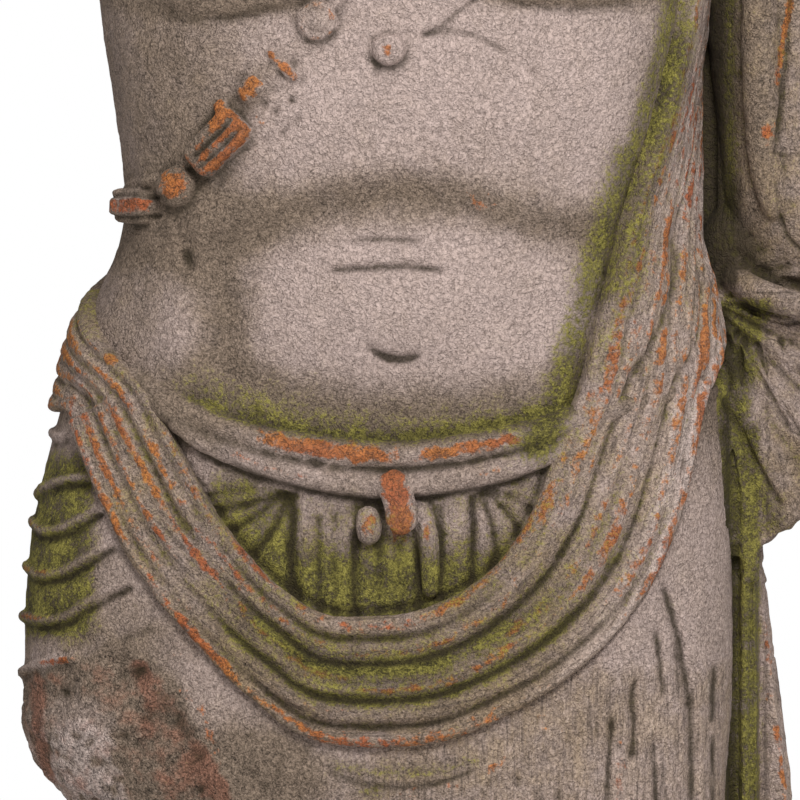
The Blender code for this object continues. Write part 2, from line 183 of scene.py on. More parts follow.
def bare_back(x, z):
    rise = -9 * np.exp(-((x / 13) ** 2)) * smooth((z - 400) / 60) * smooth((725 - z) / 40)
    for side in (-82, 82):
        rise = rise + 9 * mound(x, z, side, 610, 62, 90)
        rise = rise + 8 * mound(x, z, side, 290, 90, 80)
    folds = np.cos(x / 8.5 + 3.5 * np.sin(z / 110)) * smooth((330 - z) / 120)
    return rise + 3.2 * folds


front_carving = [bare_front]


def skin(angle, z, lift=0.0, carving=(bare_front,)):
    """A point over the body: angle 0 is the front and 90 degrees the figure's left side."""
    left, right, front, back, square = np.moveaxis(through(BODY, z), -1, 0)
    middle, half = (left + right) / 2, (right - left) / 2
    s, c = np.sin(angle), np.cos(angle)
    depth = np.where(c > 0, front, back)
    x = middle + half * np.sign(s) * np.abs(s) ** (2 / square)
    y = -depth * np.sign(c) * np.abs(c) ** (2 / square)
    nx = np.sign(s) * np.abs(s) ** (2 - 2 / square) / half
    ny = -np.sign(c) * np.abs(c) ** (2 - 2 / square) / depth
    size = np.hypot(nx, ny)
    facing = smooth(np.abs(c) * 2.2)
    carved = sum(cut(x, z) for cut in carving)
    relief = np.where(c > 0, -carved, bare_back(x, z)) * facing
    return np.stack([x + nx / size * lift, y + ny / size * lift + relief, z + 0 * x], axis=-1)


def angle_at(x, z, lift=0.0):
    """The angle on the front half at which a point of this lift is seen at x."""
    left, right, front, back, square = np.moveaxis(through(BODY, z), -1, 0)
    middle, half = (left + right) / 2, (right - left) / 2
    aim = np.asarray(x, float)
    for _ in range(8):
        share = np.clip((aim - middle) / half, -0.9995, 0.9995)
        angle = np.arcsin(np.sign(share) * np.abs(share) ** (square / 2))
        aim = aim + x - skin(angle, z, lift)[..., 0]
    return angle


def loft(rings):
    """A closed form through rings of equal point counts, as points and faces."""
    rings = np.asarray(rings, float)
    rows, count = rings.shape[:2]
    k = np.arange(count)
    low = (np.arange(rows - 1)[:, None] * count + k).ravel()
    high = (np.arange(rows - 1)[:, None] * count + (k + 1) % count).ravel()
    sides = np.stack([low, high, high + count, low + count], axis=1).tolist()
    caps = [k[::-1].tolist(), ((rows - 1) * count + k).tolist()]
    return rings.reshape(-1, 3), sides + caps


def roll(points, radii, around=22, flat=1.0, step=2.0):
    """A round roll along a smooth curve, its ends rounded; flat below 1 presses it towards the body."""
    points = np.asarray(points, float)
    length = np.linalg.norm(np.diff(points, axis=0), axis=1).sum()
    count = max(10, int(length / step))
    path = along(points, count)
    place = np.linspace(0, 1, count)
    sizes = np.interp(place, np.linspace(0, 1, len(radii)), radii)
    ends = np.minimum(place, 1 - place) * length
    sizes = sizes * np.sqrt(np.clip(1 - (1 - np.clip(ends / (sizes + 1e-9), 0, 1)) ** 2, 0.02, 1))
    way = np.gradient(path, axis=0)
    way = way / (np.linalg.norm(way, axis=1)[:, None] + 1e-9)
    side = np.cross(way, (0.03, -1.0, 0.05))
    side = side / (np.linalg.norm(side, axis=1)[:, None] + 1e-9)
    out = np.cross(side, way)
    turn = np.linspace(0, 2 * math.pi, around, endpoint=False)
    ring = np.cos(turn)[None, :, None] * side[:, None] + flat * np.sin(turn)[None, :, None] * out[:, None]
    return loft(path[:, None] + ring * sizes[:, None, None])


def laid_roll(points, radii, lift=0.0, swing=(), **shape):
    """A roll lying on the front of the body, its points given as seen from the front."""
    points = np.asarray(points, float)
    angles = angle_at(points[:, 0], points[:, 1], lift)
    way = np.column_stack([angles, points[:, 1]])
    if len(swing):
        way = np.vstack([way, swing])
    return roll(skin(way[:, 0], way[:, 1], lift), radii, **shape)


def neck_break(rings, turns):
    """The neck stump's broken top, rough and a little aslant."""
    top = rings[-1]
    heart = top.mean(axis=0)
    for size in np.linspace(0.97, 0.04, 16):
        ring = heart + (top - heart) * size
        lumps = grit(ring * (1, 1, 0), 11, 3) + 0.5 * grit(ring * (1, 1, 0), 5, 4)
        ring[:, 2] += 3.2 - 5 * size * np.cos(turns - 0.7) + 1.6 * lumps * min(1, 3 * (1.05 - size))
        ring[:, 2] = np.minimum(ring[:, 2], 794.6)
        rings.append(ring)
    return rings


torso_forms = []

# The scarf: one long shawl over the figure's left shoulder, drawn down across the skirt in a deep swag,
# round the right hip and up the back. Cast with the torso; its ridges once had red-brown paint.
SCARF_FRONT = (
    (160, 700, 192, 702),
    (163, 641, 183, 641),
    (162, 591, 175, 591),
    (152, 547, 172, 544),
    (139, 503, 167, 498),
    (126, 462, 169, 459),
    (115, 424, 175, 415),
    (103, 380, 170, 371),
    (88, 344, 162, 327),
    (73, 305, 142, 272),
    (52, 277, 112, 234),
    (24, 260, 68, 202),
    (-5, 253, 13, 182),
    (-34, 253, -36, 183),
    (-61, 267, -80, 208),
    (-86, 292, -116, 244),
    (-105, 318, -144, 279),
    (-123, 349, -164, 319),
    (-141, 380, -181, 358),
)
SCARF_BACK = (
    (-92, 396),
    (-120, 416),
    (-150, 438),
    (-180, 472),
    (-208, 522),
    (-230, 582),
    (-246, 646),
    (-254, 704),
)
SCARF_HALF_WIDTH = 32
SCARF_LIFT = 6.5
# Millimetres round the body to one radian, and points across the scarf's width and along its length
GIRTH = 115
ACROSS = 111
ALONG = 1300
# Creases across the width and how deep each is, at rows of the table above and on to the back
SCARF_CREASES = (
    (0, (0.10, 0.50, 0.60, 0.72, 0.88), (0.0, 0.3, 0.3, 0.3, 0.3)),
    (4, (0.10, 0.55, 0.62, 0.70, 0.86), (0.0, 0.4, 0.1, 0.2, 0.2)),
    (5, (0.10, 0.46, 0.55, 0.68, 0.84), (0.0, 0.8, 0.2, 0.4, 0.4)),
    (6, (0.10, 0.34, 0.46, 0.62, 0.82), (0.0, 1.0, 0.2, 0.9, 0.6)),
    (7, (0.10, 0.27, 0.44, 0.61, 0.84), (0.0, 1.0, 0.3, 0.9, 0.7)),
    (9, (0.11, 0.28, 0.44, 0.66, 0.87), (0.3, 1.1, 0.4, 1.1, 0.6)),
    (11, (0.16, 0.35, 0.50, 0.66, 0.85), (1.0, 1.5, 0.6, 1.1, 1.3)),
    (13, (0.17, 0.36, 0.51, 0.65, 0.86), (0.9, 1.6, 0.5, 1.1, 1.5)),
    (15, (0.15, 0.33, 0.49, 0.65, 0.84), (0.9, 1.1, 0.6, 0.9, 0.7)),
    (18, (0.12, 0.30, 0.47, 0.65, 0.83), (0.7, 0.8, 0.5, 0.8, 0.5)),
    (26, (0.16, 0.34, 0.50, 0.66, 0.83), (0.8, 0.9, 0.9, 0.9, 0.8)),
)
FOLD = 6.0

front = np.array(SCARF_FRONT, float)
inner = np.column_stack([angle_at(front[:, 0], front[:, 1], SCARF_LIFT), front[:, 1]])
outer = np.column_stack([angle_at(front[:, 2], front[:, 3], SCARF_LIFT), front[:, 3]])
outer[:5, 0] = np.maximum(outer[:5, 0], math.radians(96))
middle = np.array([(math.radians(a), z) for a, z in SCARF_BACK])
slope = np.gradient(middle * (GIRTH, 1), axis=0)
slope = slope / np.linalg.norm(slope, axis=1)[:, None]
aside = np.column_stack([-slope[:, 1] / GIRTH, slope[:, 0]]) * SCARF_HALF_WIDTH
inner = np.vstack([inner, middle - aside])
outer = np.vstack([outer, middle + aside])
knots = np.column_stack([inner[:, 0] * GIRTH, inner[:, 1], outer[:, 0] * GIRTH, outer[:, 1]])
place = np.concatenate([[0.0], np.cumsum(np.linalg.norm(np.diff(knots, axis=0), axis=1))])
edges = along(knots, ALONG)
row_of = np.interp(np.linspace(0, place[-1], ALONG), place, np.arange(len(place)))
down = np.linspace(0, place[-1] * 0.7, ALONG)[:, None]
across = np.linspace(0, 1, ACROSS)[None, :]
creases = np.array([c for _, c, _ in SCARF_CREASES])
depths = np.array([d for _, _, d in SCARF_CREASES])
at_rows = [r for r, _, _ in SCARF_CREASES]
a_in, z_in, a_out, z_out = (edges[:, k][:, None] for k in range(4))
z_mid = (z_in + z_out) / 2
breadth = np.hypot(a_out - a_in, z_out - z_in)
slack = 0.85 + 0.8 * smooth((320 - z_mid) / 70)
lift = np.ones((ALONG, ACROSS))
crest = np.ones((ALONG, ACROSS))
crease_shade = np.zeros((ALONG, ACROSS))


def drift(at, size, seed):
    """Slow chance values along the scarf's length, one to each row."""
    return grit(np.column_stack([down, 0 * down + at, 0 * down]), size, seed)[:, None]


for k in range(5):
    crease = np.interp(row_of, at_rows, creases[:, k])[:, None] + 0.012 * drift(50 * k, 55, 6)
    deep = np.interp(row_of, at_rows, depths[:, k])[:, None] * (0.9 + 0.3 * drift(90 * k, 38, 23))
    gap = np.abs(across - crease) * breadth
    # The dark core of each crease, painted shade
    crease_shade = np.maximum(crease_shade, np.clip(deep, 0, 1) * np.exp(-((gap / 1.35 / slack) ** 2)))
    lift = lift - 0.62 * deep * np.exp(-((gap / 2.3 / slack) ** 1.6))
    lift = lift - 0.38 * deep * np.exp(-((gap / 6.5) ** 2))
    crest = crest * (1 - np.clip(deep, 0, 1) * np.exp(-((gap / 3.4 / slack) ** 2)))
fine = np.sin(across * breadth / 1.3 + 1.8 * drift(0, 60, 24))
fine = fine + 0.5 * np.sin(across * breadth / 0.8 + 2.4 * drift(0, 43, 24))
waist = np.exp(-(((z_mid - 430) / 90) ** 2)) * (a_in > 0)
lift = lift + (0.075 + 0.09 * waist) * fine
crest = crest * (1 - (0.4 + 0.35 * waist) * smooth((-fine - 0.1) / 1.1))
crease_shade = np.maximum(crease_shade, 0.7 * waist * smooth((-fine - 0.75) / 0.6))
rim = np.minimum(across, 1 - across) * breadth
lift = np.clip(lift, -0.75, 1) - 0.8 * np.exp(-((rim / 2.2) ** 1.3))
crest = crest * smooth(rim / 4)
spread = [(down + 0 * across).ravel() / 5, (across * breadth).ravel(), np.zeros(ALONG * ACROSS)]
spread = np.column_stack(spread)
lift = SCARF_LIFT + FOLD * lift - 1.5 + 0.8 * grit(spread, 11, 7).reshape(ALONG, ACROSS)
waist = np.exp(-(((z_mid - 482) / 52) ** 2)) * (a_in > 0)
lift = lift + 8 * waist * smooth((across - 0.25) / 0.5)
lift = lift - 4.5 * np.exp(-(((z_mid - 372) / 24) ** 2)) * (a_in < -90) * smooth((across - 0.2) / 0.5)


def on_scarf(share, lift):
    """Points over the body at shares of the scarf's width, row by row."""
    return skin((a_in + (a_out - a_in) * share) / GIRTH, z_in + (z_out - z_in) * share, lift)


scarf_top = on_scarf(across, lift)
scarf_low = on_scarf(across[:, ::-10], -7.0)
scarf_rings = np.concatenate([scarf_top, scarf_low], axis=1)
scarf_place = np.stack([down + 0 * across, across * breadth, across + 0 * down, crest, crease_shade], axis=-1)
scarf_forms = [loft(scarf_rings)]
for x, up in ((136, 4), (148, 3), (160, 1), (172, -3), (184, -9), (195, -17)):
    foot = 165 + (x - 165) * 0.5
    over = ((foot, -46, 636), (x, -47, 684 + up / 2), (x, -26, 706 + up), (x, 6, 713 + up))
    over = over + ((x, 38, 704 + up), (x - 4, 58, 684 + up / 2), (foot - 10, 72, 640))
    scarf_forms.append(roll(over, (5, 7, 8, 8, 8, 7, 5)))

# The belt: two rolls of cloth about the hips, tied in front with a flat loop, its nub and its tail.
# Moulded with the torso; the upper roll and the loop keep most of their red-brown paint.
BELT_UPPER = (
    (-150, 386),
    (-119, 368),
    (-97, 357),
    (-75, 350),
    (-53, 346),
    (-25, 342),
    (2, 341),
    (30, 344),
    (57, 349),
    (79, 354),
    (98, 360),
    (150, 375),
)
BELT_LOWER = (
    (-150, 378),
    (-127, 365),
    (-108, 351),
    (-80, 339),
    (-53, 331),
    (-25, 326),
    (2, 325),
    (30, 328),
    (57, 333),
    (79, 340),
    (100, 349),
    (150, 362),
)
BELT_CREASE = (
    (-127, 362),
    (-108, 353),
    (-86, 344),
    (-64, 338),
    (-42, 334),
    (2, 331),
    (30, 334),
    (57, 341),
    (92, 350),
)
behind = [(math.radians(a), z) for a, z in ((112, 368), (150, 358), (180, 354), (210, 360), (240, 372))]
torso_forms.append(laid_roll(BELT_UPPER, (5, 7.4, 8.0, 8.0, 4.4, 5.4, 6.4, 6.4, 6.4), 1.6, behind))
torso_forms.append(laid_roll(BELT_LOWER, (5, 7.2, 8.0, 7.2, 3.0), 3.0, flat=0.85))
torso_forms.append(laid_roll(((-2, 333), (-1, 324), (2, 314), (3, 297)), (7.5, 9, 9, 8.8), 10.0, flat=0.6))
torso_forms.append(laid_roll(((-16, 313), (-15, 303), (-15, 291)), (5.8, 7.2, 6.2), 3.0))
torso_forms.append(laid_roll(((13, 314), (16, 302), (18, 288), (19, 262)), (5, 6.2, 5.6, 4.2), 0.4))

# The skirt's pleats: narrow folds gathered under the belt, cut with a rounded gouge in the model.
# The recess between belt and scarf stays damp, so moss grows over its lower half.
PLEATS = (
    (((-57, 318), (-56.5, 300), (-57.5, 284), (-55, 258)), 6.2, 5.2),
    (((-42, 306), (-42, 280), (-41, 246)), 4.2, 2.6),
    (((-33.5, 310), (-33.5, 285), (-33, 250)), 3.8, 1.8),
    (((-23, 298), (-23, 276), (-22, 244)), 4.8, 3.8),
    (((-8.8, 300), (-8.8, 276), (-8, 242)), 3.8, 1.8),
    (((2.2, 292), (2.5, 270), (2, 242)), 3.8, 1.4),
    (((12.5, 304), (12.5, 280), (11, 244)), 4.6, 3.2),
    (((25.5, 312), (25, 286), (24, 248)), 4.0, 1.8),
    (((42, 316), (42, 296), (41, 260)), 5.0, 4.2),
    (((47, 319), (52, 304), (54.5, 290), (52, 274)), 4.4, 3.4),
    (((50, 321), (62, 308), (70, 292)), 4.2, 3.0),
    (((54, 322), (70, 314), (80, 304)), 3.8, 2.4),
    (((-60, 318), (-66, 302), (-78, 286)), 4.4, 3.4),
    (((-62, 319), (-76, 308), (-92, 298)), 4.2, 3.2),
    (((-63, 320), (-80, 314), (-100, 310)), 4.0, 3.0),
    (((-64, 322), (-84, 322), (-108, 318)), 3.8, 2.4),
)


def skirt_cuts(x, z):
    """The skirt lies a little deeper than the belly, cut into pleats that fan out at both ends."""
    rise = 1.0 - 2.5 * mound(x, z, -12, 290, 92, 60)
    for line, reach, deep in PLEATS:
        rise = rise - deep * near(x, z, line, reach)
    return rise * smooth((326 - z) / 8) * smooth((z - 232) / 12)


front_carving.append(skirt_cuts)

# The folds at the right hip: cloth dragged up under the scarf, each fold with a cut line below it.
# They run on round the side of the casting to the back.
HIP_FOLDS = (
    ((-196, 353), (-187, 350.5), (-180, 354)),
    ((-199, 320), (-190, 325.5), (-181, 328), (-171, 329)),
    ((-202, 304), (-195, 299), (-183, 301.5), (-174, 306), (-164, 313)),
    ((-205, 279), (-197, 275), (-182, 278), (-170, 285), (-157, 294)),
    ((-206, 252), (-196, 250), (-183, 252), (-169, 261), (-148, 273)),
    ((-206, 222), (-196, 226.5), (-186, 229), (-177, 230)),
    ((-155, 243), (-147, 245.5), (-138, 249), (-131, 253.5)),
)
for fold in HIP_FOLDS[:6]:
    z = fold[0][1]
    away = [(math.radians(a), z + drop) for a, drop in ((-150, -10), (-125, -8), (-105, -3))]
    way = [(angle_at(np.array([float(x)]), np.array([float(h)]), 2.0)[0], float(h)) for x, h in fold]
    way = np.array(away + way)
    torso_forms.append(roll(skin(way[:, 0], way[:, 1], 0.4), (2.6, 3.5, 3.3, 3.1, 2.8, 2.0)))
torso_forms.append(laid_roll(HIP_FOLDS[6], (1.5, 3.2, 1.5), 0.0))


def hip_cuts(x, z):
    rise = 0.0
    for fold in HIP_FOLDS[1:5]:
        rise = rise - 3.0 * near(x, z, shifted(fold[1:], 2, -5.5), 3.6)
    return rise


front_carving.append(hip_cuts)

# The scarf's inner edge, from the shoulder down and along the swag
SCARF_EDGE = [row[:2] for row in SCARF_FRONT]
SCARF_INNER = shifted(SCARF_EDGE[:11], -2.5, 0.5) + shifted(SCARF_EDGE[11:], 0, 3)


def beside_scarf(x, z):
    """The deep groove where the belly passes under the scarf's inner edge."""
    return -5.5 * near(x, z, SCARF_INNER[:9], 6) - 3.0 * near(x, z, SCARF_INNER[8:], 4.5)


front_carving.append(beside_scarf)

# The robe below the scarf and the broken right thigh: long shallow folds hang at the figure's left, and
# at its right the cloth is broken away to rough core.
BREAK_TOP = ((-215, 222), (-177, 231), (-157, 239), (-144, 234), (-127, 228), (-111, 212), (-86, 151))
BREAK_SIDE = ((-20, -72), (96, -78), (151, -86), (184, -100), (212, -111), (228, -127))
ROBE_CUTS = (
    (((147, 267), (151, 255), (155, 240), (158, 224), (161, 206),
      (162, 184), (162, 151), (161, 60), (160, -10)), 5.0, 3.8),
    (((131.5, 217), (129.3, 211), (129.8, 201), (130.4, 190), (129.5, 176)), 3.8, 3.0),
    (((175, 224), (174.4, 212), (173.8, 194)), 5.4, 3.0),
    (((174.4, 185), (174.4, 168), (174, 100), (173, -10)), 4.0, 2.6),
    (((142.5, 243), (144, 234), (145.2, 223), (146.3, 210)), 3.8, 2.6),
    (((152, 235), (154, 223), (155.5, 208)), 3.6, 2.0),
    (((141, 182), (142, 165), (142, 100), (142, -10)), 4.0, 3.0),
    (((119, 196), (117, 180), (116, 100), (114, -10)), 4.2, 2.6),
    (((90, 160), (84, 120), (80, 60), (78, -10)), 4.4, 2.0),
    (((40, 150), (38, 100), (36, -10)), 5.0, 1.4),
    (((-10, 150), (-14, 100), (-16, -10)), 5.0, 1.4),
    (((-62, 176), (-64, 170), (-65, 163)), 2.8, 1.6),
    (((-34, 166), (-12, 160), (22, 161), (42, 168)), 4.6, 2.4),
)
LOW_FOLD = (
    (142, 270),
    (134, 250),
    (118, 223),
    (85, 190),
    (60, 173),
    (35, 163),
    (2, 161),
    (-25, 163),
    (-53, 169),
    (-75, 178),
)


def break_depth(x, z):
    """How far inside the broken face a point of the front lies."""
    top = height_on(BREAK_TOP, x)
    side = height_on(BREAK_SIDE, z)
    ragged = 2.5 * np.sin(x * 0.19 + z * 0.13) + 1.2 * np.sin(x * 0.43 - z * 0.37)
    return np.minimum(top - z, (side - x) * 0.8) + ragged


def robe_front(x, z):
    rise = -5 * smooth(break_depth(x, z) / 20)
    for line, reach, deep in ROBE_CUTS:
        rise = rise - deep * near(x, z, line, reach)
    whole = 1 - smooth(break_depth(x, z) / 6)
    rise = rise + 3.2 * near(x, z, LOW_FOLD, 15) * whole
    threads = np.sin(x * 1.15 + 0.02 * z + 1.5 * np.sin(z * 0.02))
    threads = threads + 0.6 * np.sin(x * 0.71 + 2 + 0.9 * np.sin(z * 0.031))
    threads = 0.5 * threads * smooth((x - 20) / 60) * smooth((215 - z) / 40) * smooth((176 - x) / 8)
    return rise + threads * whole


front_carving.append(robe_front)
for k in range(6):
    x = 112 + 17 * k
    sway = 3 * math.sin(2.1 * k)
    draw = 0.6 * k * k
    hang = ((x, 76 - 3 * k, 694 - 5 * k), (x + sway, 82 - 4 * k, 600), (x + 2 - draw, 84 - 4 * k, 460))
    hang = hang + ((x + 4 - sway - draw, 88 - 3 * k, 300), (x + 5 - 0.5 * draw, 86 - 3 * k, 140))
    hang = hang + ((x + 6 + sway, 80 - 3 * k, -10),)
    torso_forms.append(roll(hang, (8, 11, 11, 11, 12, 12)))

# The amulet string: ridged boxes, a round bead and a disc on a cord from under the right arm to the left
# shoulder, with a short necklace and its knob. All are moulded on the chest and touched with paint.
def box(centre, size, tilt, lift, waists, round_off, ends):
    """A soft-cornered box laid on the chest, with shallow waists across its length where asked for."""
    x, z = centre
    angle = angle_at(np.array([float(x)]), np.array([float(z)]), lift)[0]
    heart = skin(angle, np.array(float(z)), lift)
    yaw, tip = angle * 0.8, math.radians(tilt)
    out = np.array((math.sin(yaw), -math.cos(yaw), 0))
    wide = np.array((math.cos(yaw), math.sin(yaw), 0)) * math.cos(tip) + np.array((0, 0, math.sin(tip)))
    tall = np.cross(out, wide)
    tall = tall if tall[2] > 0 else -tall
    turn = np.linspace(0, 2 * math.pi, 48, endpoint=False)
    a = np.sign(np.cos(turn)) * np.abs(np.cos(turn)) ** round_off
    b = np.sign(np.sin(turn)) * np.abs(np.sin(turn)) ** round_off
    rings = []
    for s in np.linspace(-1, 1, 34):
        shrink = max(0.04, 1 - abs(s) ** ends) ** (0.25 if ends > 4 else 0.5)
        pinch = 1 - 0.10 * waists * (0.5 + 0.5 * math.cos(s * math.pi * 3.0 + math.pi))
        ring = heart + wide * s * size[0] / 2
        ring = ring + tall * (a * size[2] / 2 * shrink)[:, None]
        ring = ring + out * (b * size[1] / 2 * shrink * pinch)[:, None]
        rings.append(ring)
    return loft(rings)


# Each amulet's middle, its length, depth and breadth, its tilt and lift, waists, roundness and ends
AMULETS = (
    ((-144, 477.5), (36, 15, 19), -4, 3.0, 1, 0.7, 5),
    ((-98, 512), (39, 14, 22), 43, 3.4, 1, 0.45, 8),
    ((-121, 487.5), (25, 18, 22), 10, 2.6, 0, 1.0, 2),
    ((-96, 531.5), (8, 7, 8), 42, 1.6, 0, 0.8, 4),
    ((-80, 541), (15, 8, 12), 42, 1.2, 0, 0.8, 4),
    ((-62, 554), (22, 6, 6), -44, 1.6, 0, 0.9, 4),
    ((-43, 578), (22, 12, 22), 30, 1.6, 0, 0.95, 3),
    ((-4, 562.5), (20, 15, 18), 4, 1.4, 0, 1.0, 2),
)
for amulet in AMULETS:
    torso_forms.append(box(*amulet))
AMULET_LINES = (
    ((-111, 504), (-100, 514.5), (-90, 525)),
    ((-107, 499), (-96, 509), (-85, 520)),
    ((-160, 483), (-146, 484), (-130, 482)),
    ((-160, 472), (-146, 471), (-130, 472)),
    ((-127, 467), (-125, 477), (-127, 487)),
    ((-111, 484), (-112, 477), (-120, 475)),
    ((-109, 494), (-104, 487), (-98, 488), (-86, 502), (-78, 514)),
    ((-54, 572), (-48, 567), (-40, 567), (-33, 573)),
    ((-13, 557), (-7, 552.5), (0, 552.5), (6, 557)),
    ((14, 570), (27, 577), (36, 585), (44, 591)),
    ((16, 571), (32, 573), (46, 569), (60, 561)),
)
CORD = (
    (-163, 486),
    (-140, 491),
    (-121, 496),
    (-106, 512),
    (-92, 528),
    (-70, 548),
    (-44, 577),
    (4, 628),
    (60, 684),
    (112, 716),
)
torso_forms.append(laid_roll(CORD[:5], (3.4, 3.4), -0.6))
torso_forms.append(laid_roll(CORD[4:7], (2.4, 3.0), -1.4))
torso_forms.append(laid_roll(CORD[6:], (3.0, 3.6), -0.4))

# Small pits beside the string, with their depths
CHEST_PITS = (
    (-57, 535, 3.0),
    (-66, 529, 2.6),
    (-54, 525, 2.4),
    (-62, 517, 2.6),
    (-59, 521, 1.6),
    (-72, 533, 1.6),
    (-49, 531, 1.5),
    (-50, 546, 1.6),
    (-67, 541, 1.4),
)


def chest_lines(x, z):
    """Engraved lines of the necklace, the disc's rim and the pits beside the string."""
    necklace = ((14, 570), (27, 577), (36, 585), (44, 591), (57, 613), (79, 646), (88, 700))
    rise = -1.9 * near(x, z, necklace, 3.2)
    rise = rise - 1.7 * near(x, z, ((16, 571), (32, 573), (46, 569), (60, 561), (71, 554), (79, 546)), 3.0)
    for px, pz, deep in CHEST_PITS:
        rise = rise - deep * mound(x, z, px, pz, 3.8, 4.2)
    return rise


front_carving.append(chest_lines)

# The right shoulder's stump: the arm is broken off a hand's breadth below the shoulder, and the break
# shows the coarse core.
STUMP = ((-60, 2, 712), (-110, 2, 696), (-148, 2, 676), (-160, 2, 650), (-164, 2, 628))
torso_forms.append(roll(STUMP, (26, 38, 44, 42, 39), 60))

# The torso is fused from the forms above, roughened, and thinned where it is plain.
# Its finish is made here, and the other pieces share it.
turns = np.concatenate([np.radians(np.arange(-100, 100, 0.5)), np.radians(np.arange(100, 260, 1.6))])
levels = np.arange(-ROOT, 790.1, 1.5)[:, None]
rings = list(skin(turns[None, :] + 0 * levels, levels + 0 * turns[None, :], 0.0, front_carving))
torso_forms.insert(0, loft(neck_break(rings, turns)))


def mesh_points(mesh):
    co = np.empty(len(mesh.vertices) * 3, np.float32)
    mesh.vertices.foreach_get("co", co)
    normal = np.empty(len(mesh.vertices) * 3, np.float32)
    mesh.vertex_normals.foreach_get("vector", normal)
    return co.reshape(-1, 3).astype(float), normal.reshape(-1, 3).astype(float)


def mesh_edges(mesh):
    ends = np.empty(len(mesh.edges) * 2, np.int32)
    mesh.edges.foreach_get("vertices", ends)
    return ends.reshape(-1, 2)


def evened(values, ends, rounds, much=1.0):
    """The values at a mesh's points, drawn round by round towards the mean of their neighbours'."""
    a, b = ends.T
    count = len(values)
    share = np.bincount(a, minlength=count) + np.bincount(b, minlength=count) + 1e-9
    values = np.array(values, float)
    columns = values.reshape(count, -1)
    for _ in range(rounds):
        for k in range(columns.shape[1]):
            column = columns[:, k]
            total = np.bincount(a, column[b], count) + np.bincount(b, column[a], count)
            columns[:, k] = column + much * (total / share - column)
    return values


def hollow(points, normals, ends, rounds):
    """How far each point lies below the mean of its surroundings: above 0 in grooves, below on ridges."""
    return ((evened(points, ends, rounds) - points) * normals).sum(axis=1)


def weathering(p):
    """The casting's rough surface, in millimetres along the normal."""
    rough = 0.55 * grit(p, 26, 1) + 0.35 * grit(p, 9, 2) + 0.28 * grit(p, 4.2, 3)
    pits = np.clip(grit(p, 5.5, 8) - 0.55, 0, 1) + np.clip(grit(p, 3.2, 9) - 0.6, 0, 1)
    return rough - 2.0 * pits


def cast(name, forms, triangles, extra=None, keep=None):
    """Fuses forms into one skin, roughens it and thins it. Returns the piece."""
    points, faces, first = [], [], 0
    for form_points, form_faces in forms:
        points.append(form_points)
        faces.extend([i + first for i in face] for face in form_faces)
        first += len(form_points)
    raw = bpy.data.meshes.new(name)
    raw.from_pydata((np.concatenate(points) * MM + FOOT).tolist(), [], faces)
    piece = bpy.data.objects.new(name, raw)
    bpy.context.scene.collection.objects.link(piece)
    fuse = piece.modifiers.new("fuse", "REMESH")
    fuse.mode = "VOXEL"
    fuse.voxel_size = CELL * MM
    bpy.context.view_layer.update()
    skinned = bpy.data.meshes.new_from_object(piece.evaluated_get(bpy.context.evaluated_depsgraph_get()))
    piece.modifiers.clear()
    co, normal = mesh_points(skinned)
    ends = mesh_edges(skinned)
    p = evened((co - FOOT) / MM, ends, 1, 0.25)
    p = p + normal * (weathering(p) + (extra(p, normal) if extra else 0))[:, None]
    near_hollow = hollow(p, normal, ends, 8 if CELL < 2 else 3)
    wide_hollow = hollow(p, normal, ends, 60 if CELL < 2 else 16)
    skinned.vertices.foreach_set("co", (p * MM + FOOT).astype(np.float32).ravel())
    skinned.update()
    for key, values in (("near_hollow", near_hollow), ("wide_hollow", wide_hollow)):
        store = skinned.attributes.new(key, "FLOAT", "POINT")
        store.data.foreach_set("value", values.astype(np.float32))
    piece.data = skinned
    if keep is not None:
        group = piece.vertex_groups.new(name="plain")
        plain = np.round(1 - 0.9 * keep(p, normal), 1)
        for level in np.unique(plain):
            group.add(np.flatnonzero(plain == level).tolist(), float(level), "REPLACE")
    count = len(skinned.polygons) * 2
    thin = piece.modifiers.new("thin", "DECIMATE")
    thin.ratio = min(1.0, (triangles / 1) / count)
    if keep is not None:
        thin.vertex_group = "plain"
        thin.vertex_group_factor = 2e-5
    bpy.context.view_layer.update()
    final = bpy.data.meshes.new_from_object(piece.evaluated_get(bpy.context.evaluated_depsgraph_get()))
    piece.modifiers.clear()
    piece.vertex_groups.clear()
    piece.data = final
    co, _ = mesh_points(final)
    low, high = np.array(cad_box[0]) + INSIDE, np.array(cad_box[1]) - INSIDE
    final.vertices.foreach_set("co", np.clip(co, low, high).astype(np.float32).ravel())
    final.polygons.foreach_set("use_smooth", np.ones(len(final.polygons), bool))
    final.update()
    return piece


def read(piece, key):
    values = np.empty(len(piece.data.vertices), np.float32)
    piece.data.attributes[key].data.foreach_get("value", values)
    return values.astype(float)


def strokes(x, z, rows):
    """The strongest of several drawn strokes at each point: a line, its reach and its strength a row."""
    best = 0.0
    for line, reach, much in rows:
        best = np.maximum(best, much * near(x, z, line, reach))
    return best


def spots(x, z, rows):
    """Rounded patches added up: a middle, the reach across and up, and the strength a row."""
    return sum(much * mound(x, z, cx, cz, across, up) for cx, cz, across, up, much in rows)


def mark(piece, **masks):
    """Writes where moss, paint, grime, painted shade and the rest lie, with soft edges, for the finish to
    read.
    """
    ends = mesh_edges(piece.data)
    for key, values in masks.items():
        values = values + np.zeros(len(piece.data.vertices))
        values = evened(values, ends, 0 if key in ("run", "cross") else 2, 0.5)
        store = piece.data.attributes.new(key, "FLOAT", "POINT")
        store.data.foreach_set("value", values.astype(np.float32))


